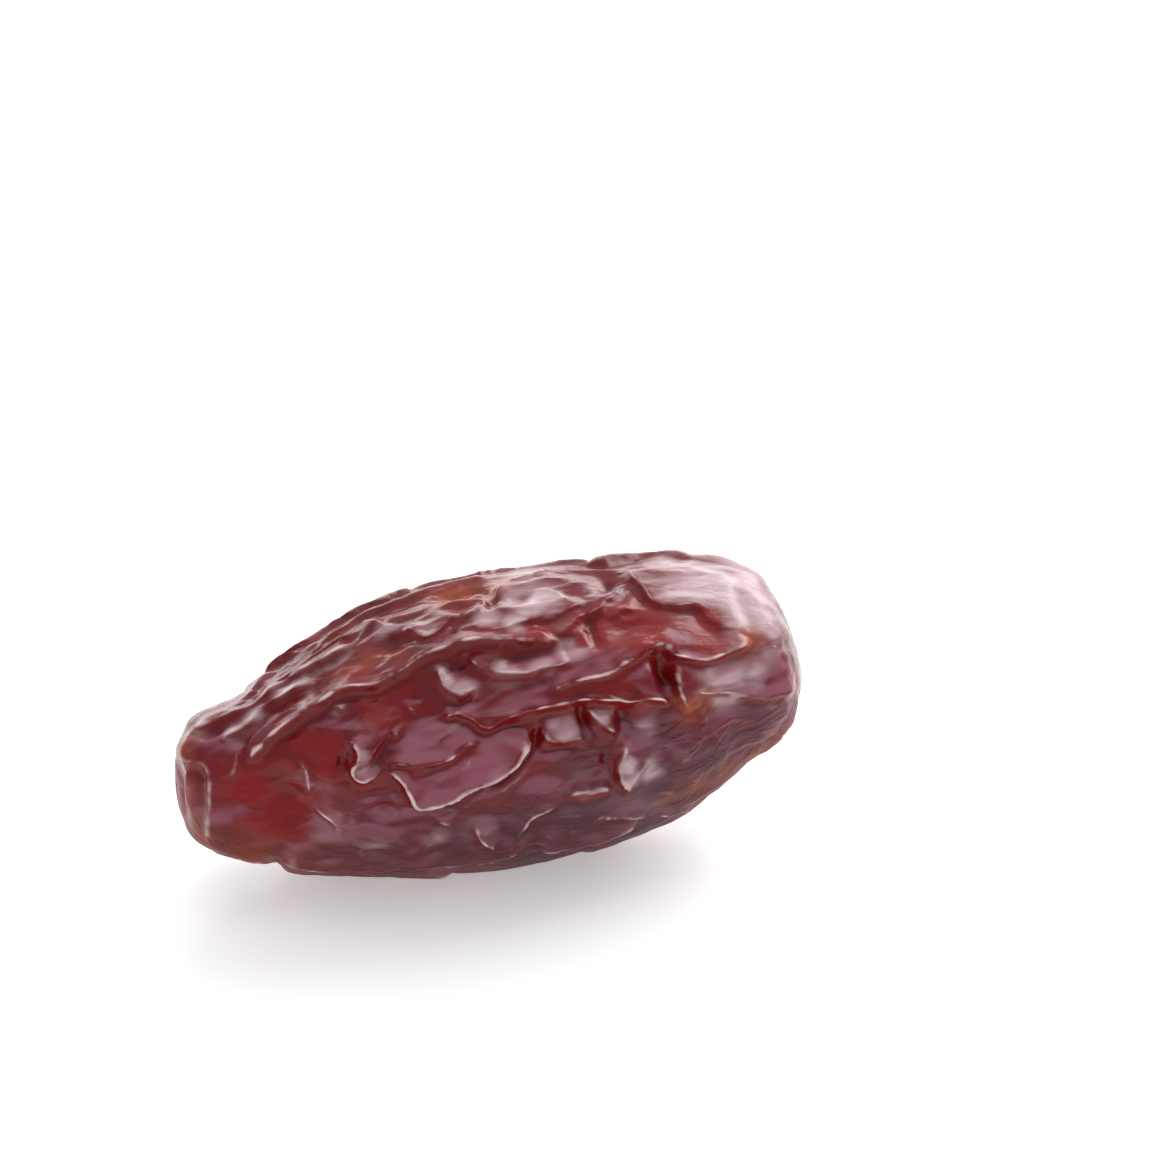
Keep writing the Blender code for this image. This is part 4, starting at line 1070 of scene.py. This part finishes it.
def date_finish():
    """Glossy, slightly see-through skin: painted shade of deep red in the valleys, mauve that is partly
    a painted sheen on the raised parts, pale along the crests partly as a painted highlight, with a
    waxy bloom that is partly a painted highlight, a painted amber glow where the edges are thin, and
    painted shade on the underside, the hidden side and the broad end."""
    finish = Finish("date_skin")
    uneven = finish.veil("blush edge")
    blush = finish.mask("blush", finish.math("ADD", finish.mark("blush"), uneven))
    colour = clear_skin(finish, blush)
    colour = bloom_and_sheen(finish, colour, blush)
    colour = facet_light_and_shade(finish, colour, blush)
    colour = amber_glow(finish, colour)
    colour = pale_lines(finish, colour, blush)
    # painted shade: the underside, the hidden side and the broad end are darkened
    shaded = finish.times(finish.mark("belly"), BELLY_SHADE)
    shaded = finish.math("MAXIMUM", shaded, finish.mark("hidden"))
    colour = finish.blend(shaded, colour, HIDDEN_SHADE, "MULTIPLY")
    gloss = finish.veil("gloss")
    duller = finish.times(finish.mark("belly"), BELLY_DULLER)
    finish.fill(finish.shader, {
        "Base Color": colour,
        "Roughness": finish.math("ADD", gloss, duller),
        "Normal": small_relief(finish, blush),
        "Subsurface Weight": SEEP,
        "Subsurface Radius": SEEP_BY_COLOUR,
        "Subsurface Scale": SEEP_DEPTH,
        "Specular IOR Level": SHINE,
    })
    return finish.material


TABLE_SIZE = 3.0
TABLE_WHITE = (0.88, 0.88, 0.88, 1.0)
TABLE_ROUGHNESS = 0.30
TABLE_GLOW = 0.40         # a light table: it shines a little itself, so shadows stay faint


def lay_table():
    """A plain white light table with a slight gloss."""
    net = bmesh.new()
    bmesh.ops.create_grid(net, x_segments=1, y_segments=1, size=TABLE_SIZE / 2)
    mesh = mesh_of(net, "table_top")
    finish = Finish("table_white")
    finish.fill(finish.shader, {
        "Base Color": TABLE_WHITE,
        "Roughness": TABLE_ROUGHNESS,
        "Emission Color": TABLE_WHITE,
        "Emission Strength": TABLE_GLOW,
    })
    mesh.materials.append(finish.material)
    return put_in_scene("table_top", mesh)


ROOM_WHITE = (1.0, 1.0, 1.0, 1.0)
ROOM_LIGHT = 0.55
# Soft lamps: name, place, where it is aimed, width and height, and power
LAMPS = (
    ("tent_top", (0.05, 0.25, 0.80), (0.0, 0.0, 0.0), (1.1, 0.9), 1.6),
    ("backdrop", (0.20, 0.95, 0.28), (0.0, 0.0, 0.20), (2.4, 0.5), 9.0),
    ("window", (0.50, 0.32, 0.42), (0.0, 0.0, 0.01), (0.55, 0.45), 4.0),
)


def soft_light(name, place, target, size, power):
    """A large rectangular lamp aimed at a target."""
    lamp = bpy.data.lights.new(name, "AREA")
    lamp.shape = "RECTANGLE"
    lamp.size, lamp.size_y = size
    lamp.energy = power
    light = put_in_scene(name, lamp)
    light.location = place
    light.rotation_euler = (Vector(target) - Vector(place)).to_track_quat("-Z", "Y").to_euler()


def light_studio():
    """Dim surroundings, and large soft lamps above, behind and high on the right."""
    world = bpy.data.worlds.new("white_room")
    bpy.context.scene.world = world
    world.use_nodes = True
    sky = world.node_tree.nodes["Background"]
    sky.inputs["Color"].default_value = ROOM_WHITE
    sky.inputs["Strength"].default_value = ROOM_LIGHT
    for lamp in LAMPS:
        soft_light(*lamp)


# The photographed view: angles in degrees, distance in metres, and where the middle of
# the fruit shows in the square picture, in its own pixels
VIEW_TURN = -15.0
VIEW_RISE = 28.0
VIEW_DISTANCE = 0.450
PICTURE_SIDE = 1170
PIXELS_PER_METRE = 12400.0
FRUIT_MIDDLE = (0.0, 0.0, 0.0119)
MIDDLE_SHOWS_AT = (492.0, 718.0)
SENSOR = 36.0
NEAREST_SHOWN = 0.01


def place_camera():
    """The camera where the photograph was taken from."""
    turn = math.radians(VIEW_TURN)
    rise = math.radians(VIEW_RISE)
    level = math.cos(rise)
    back = Vector((math.sin(turn) * level, -math.cos(turn) * level, math.sin(rise)))
    right = Vector((math.cos(turn), math.sin(turn), 0.0))
    up = back.cross(right)
    centre = PICTURE_SIDE / 2
    aim = Vector(FRUIT_MIDDLE)
    aim += right * (centre - MIDDLE_SHOWS_AT[0]) / PIXELS_PER_METRE
    aim += up * (MIDDLE_SHOWS_AT[1] - centre) / PIXELS_PER_METRE
    view = bpy.data.cameras.new("camera")
    view.sensor_width = SENSOR
    view.lens = PIXELS_PER_METRE * VIEW_DISTANCE * SENSOR / PICTURE_SIDE
    view.clip_start = NEAREST_SHOWN
    camera = put_in_scene("camera", view)
    camera.location = aim + back * VIEW_DISTANCE
    camera.rotation_euler = back.to_track_quat("Z", "Y").to_euler()
    bpy.context.scene.camera = camera


skin = make_skin()
skin.data.materials.append(date_finish())
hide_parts("date")
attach(skin, "root")
lay_table()
light_studio()
place_camera()
bpy.context.scene.view_settings.view_transform = "Standard"
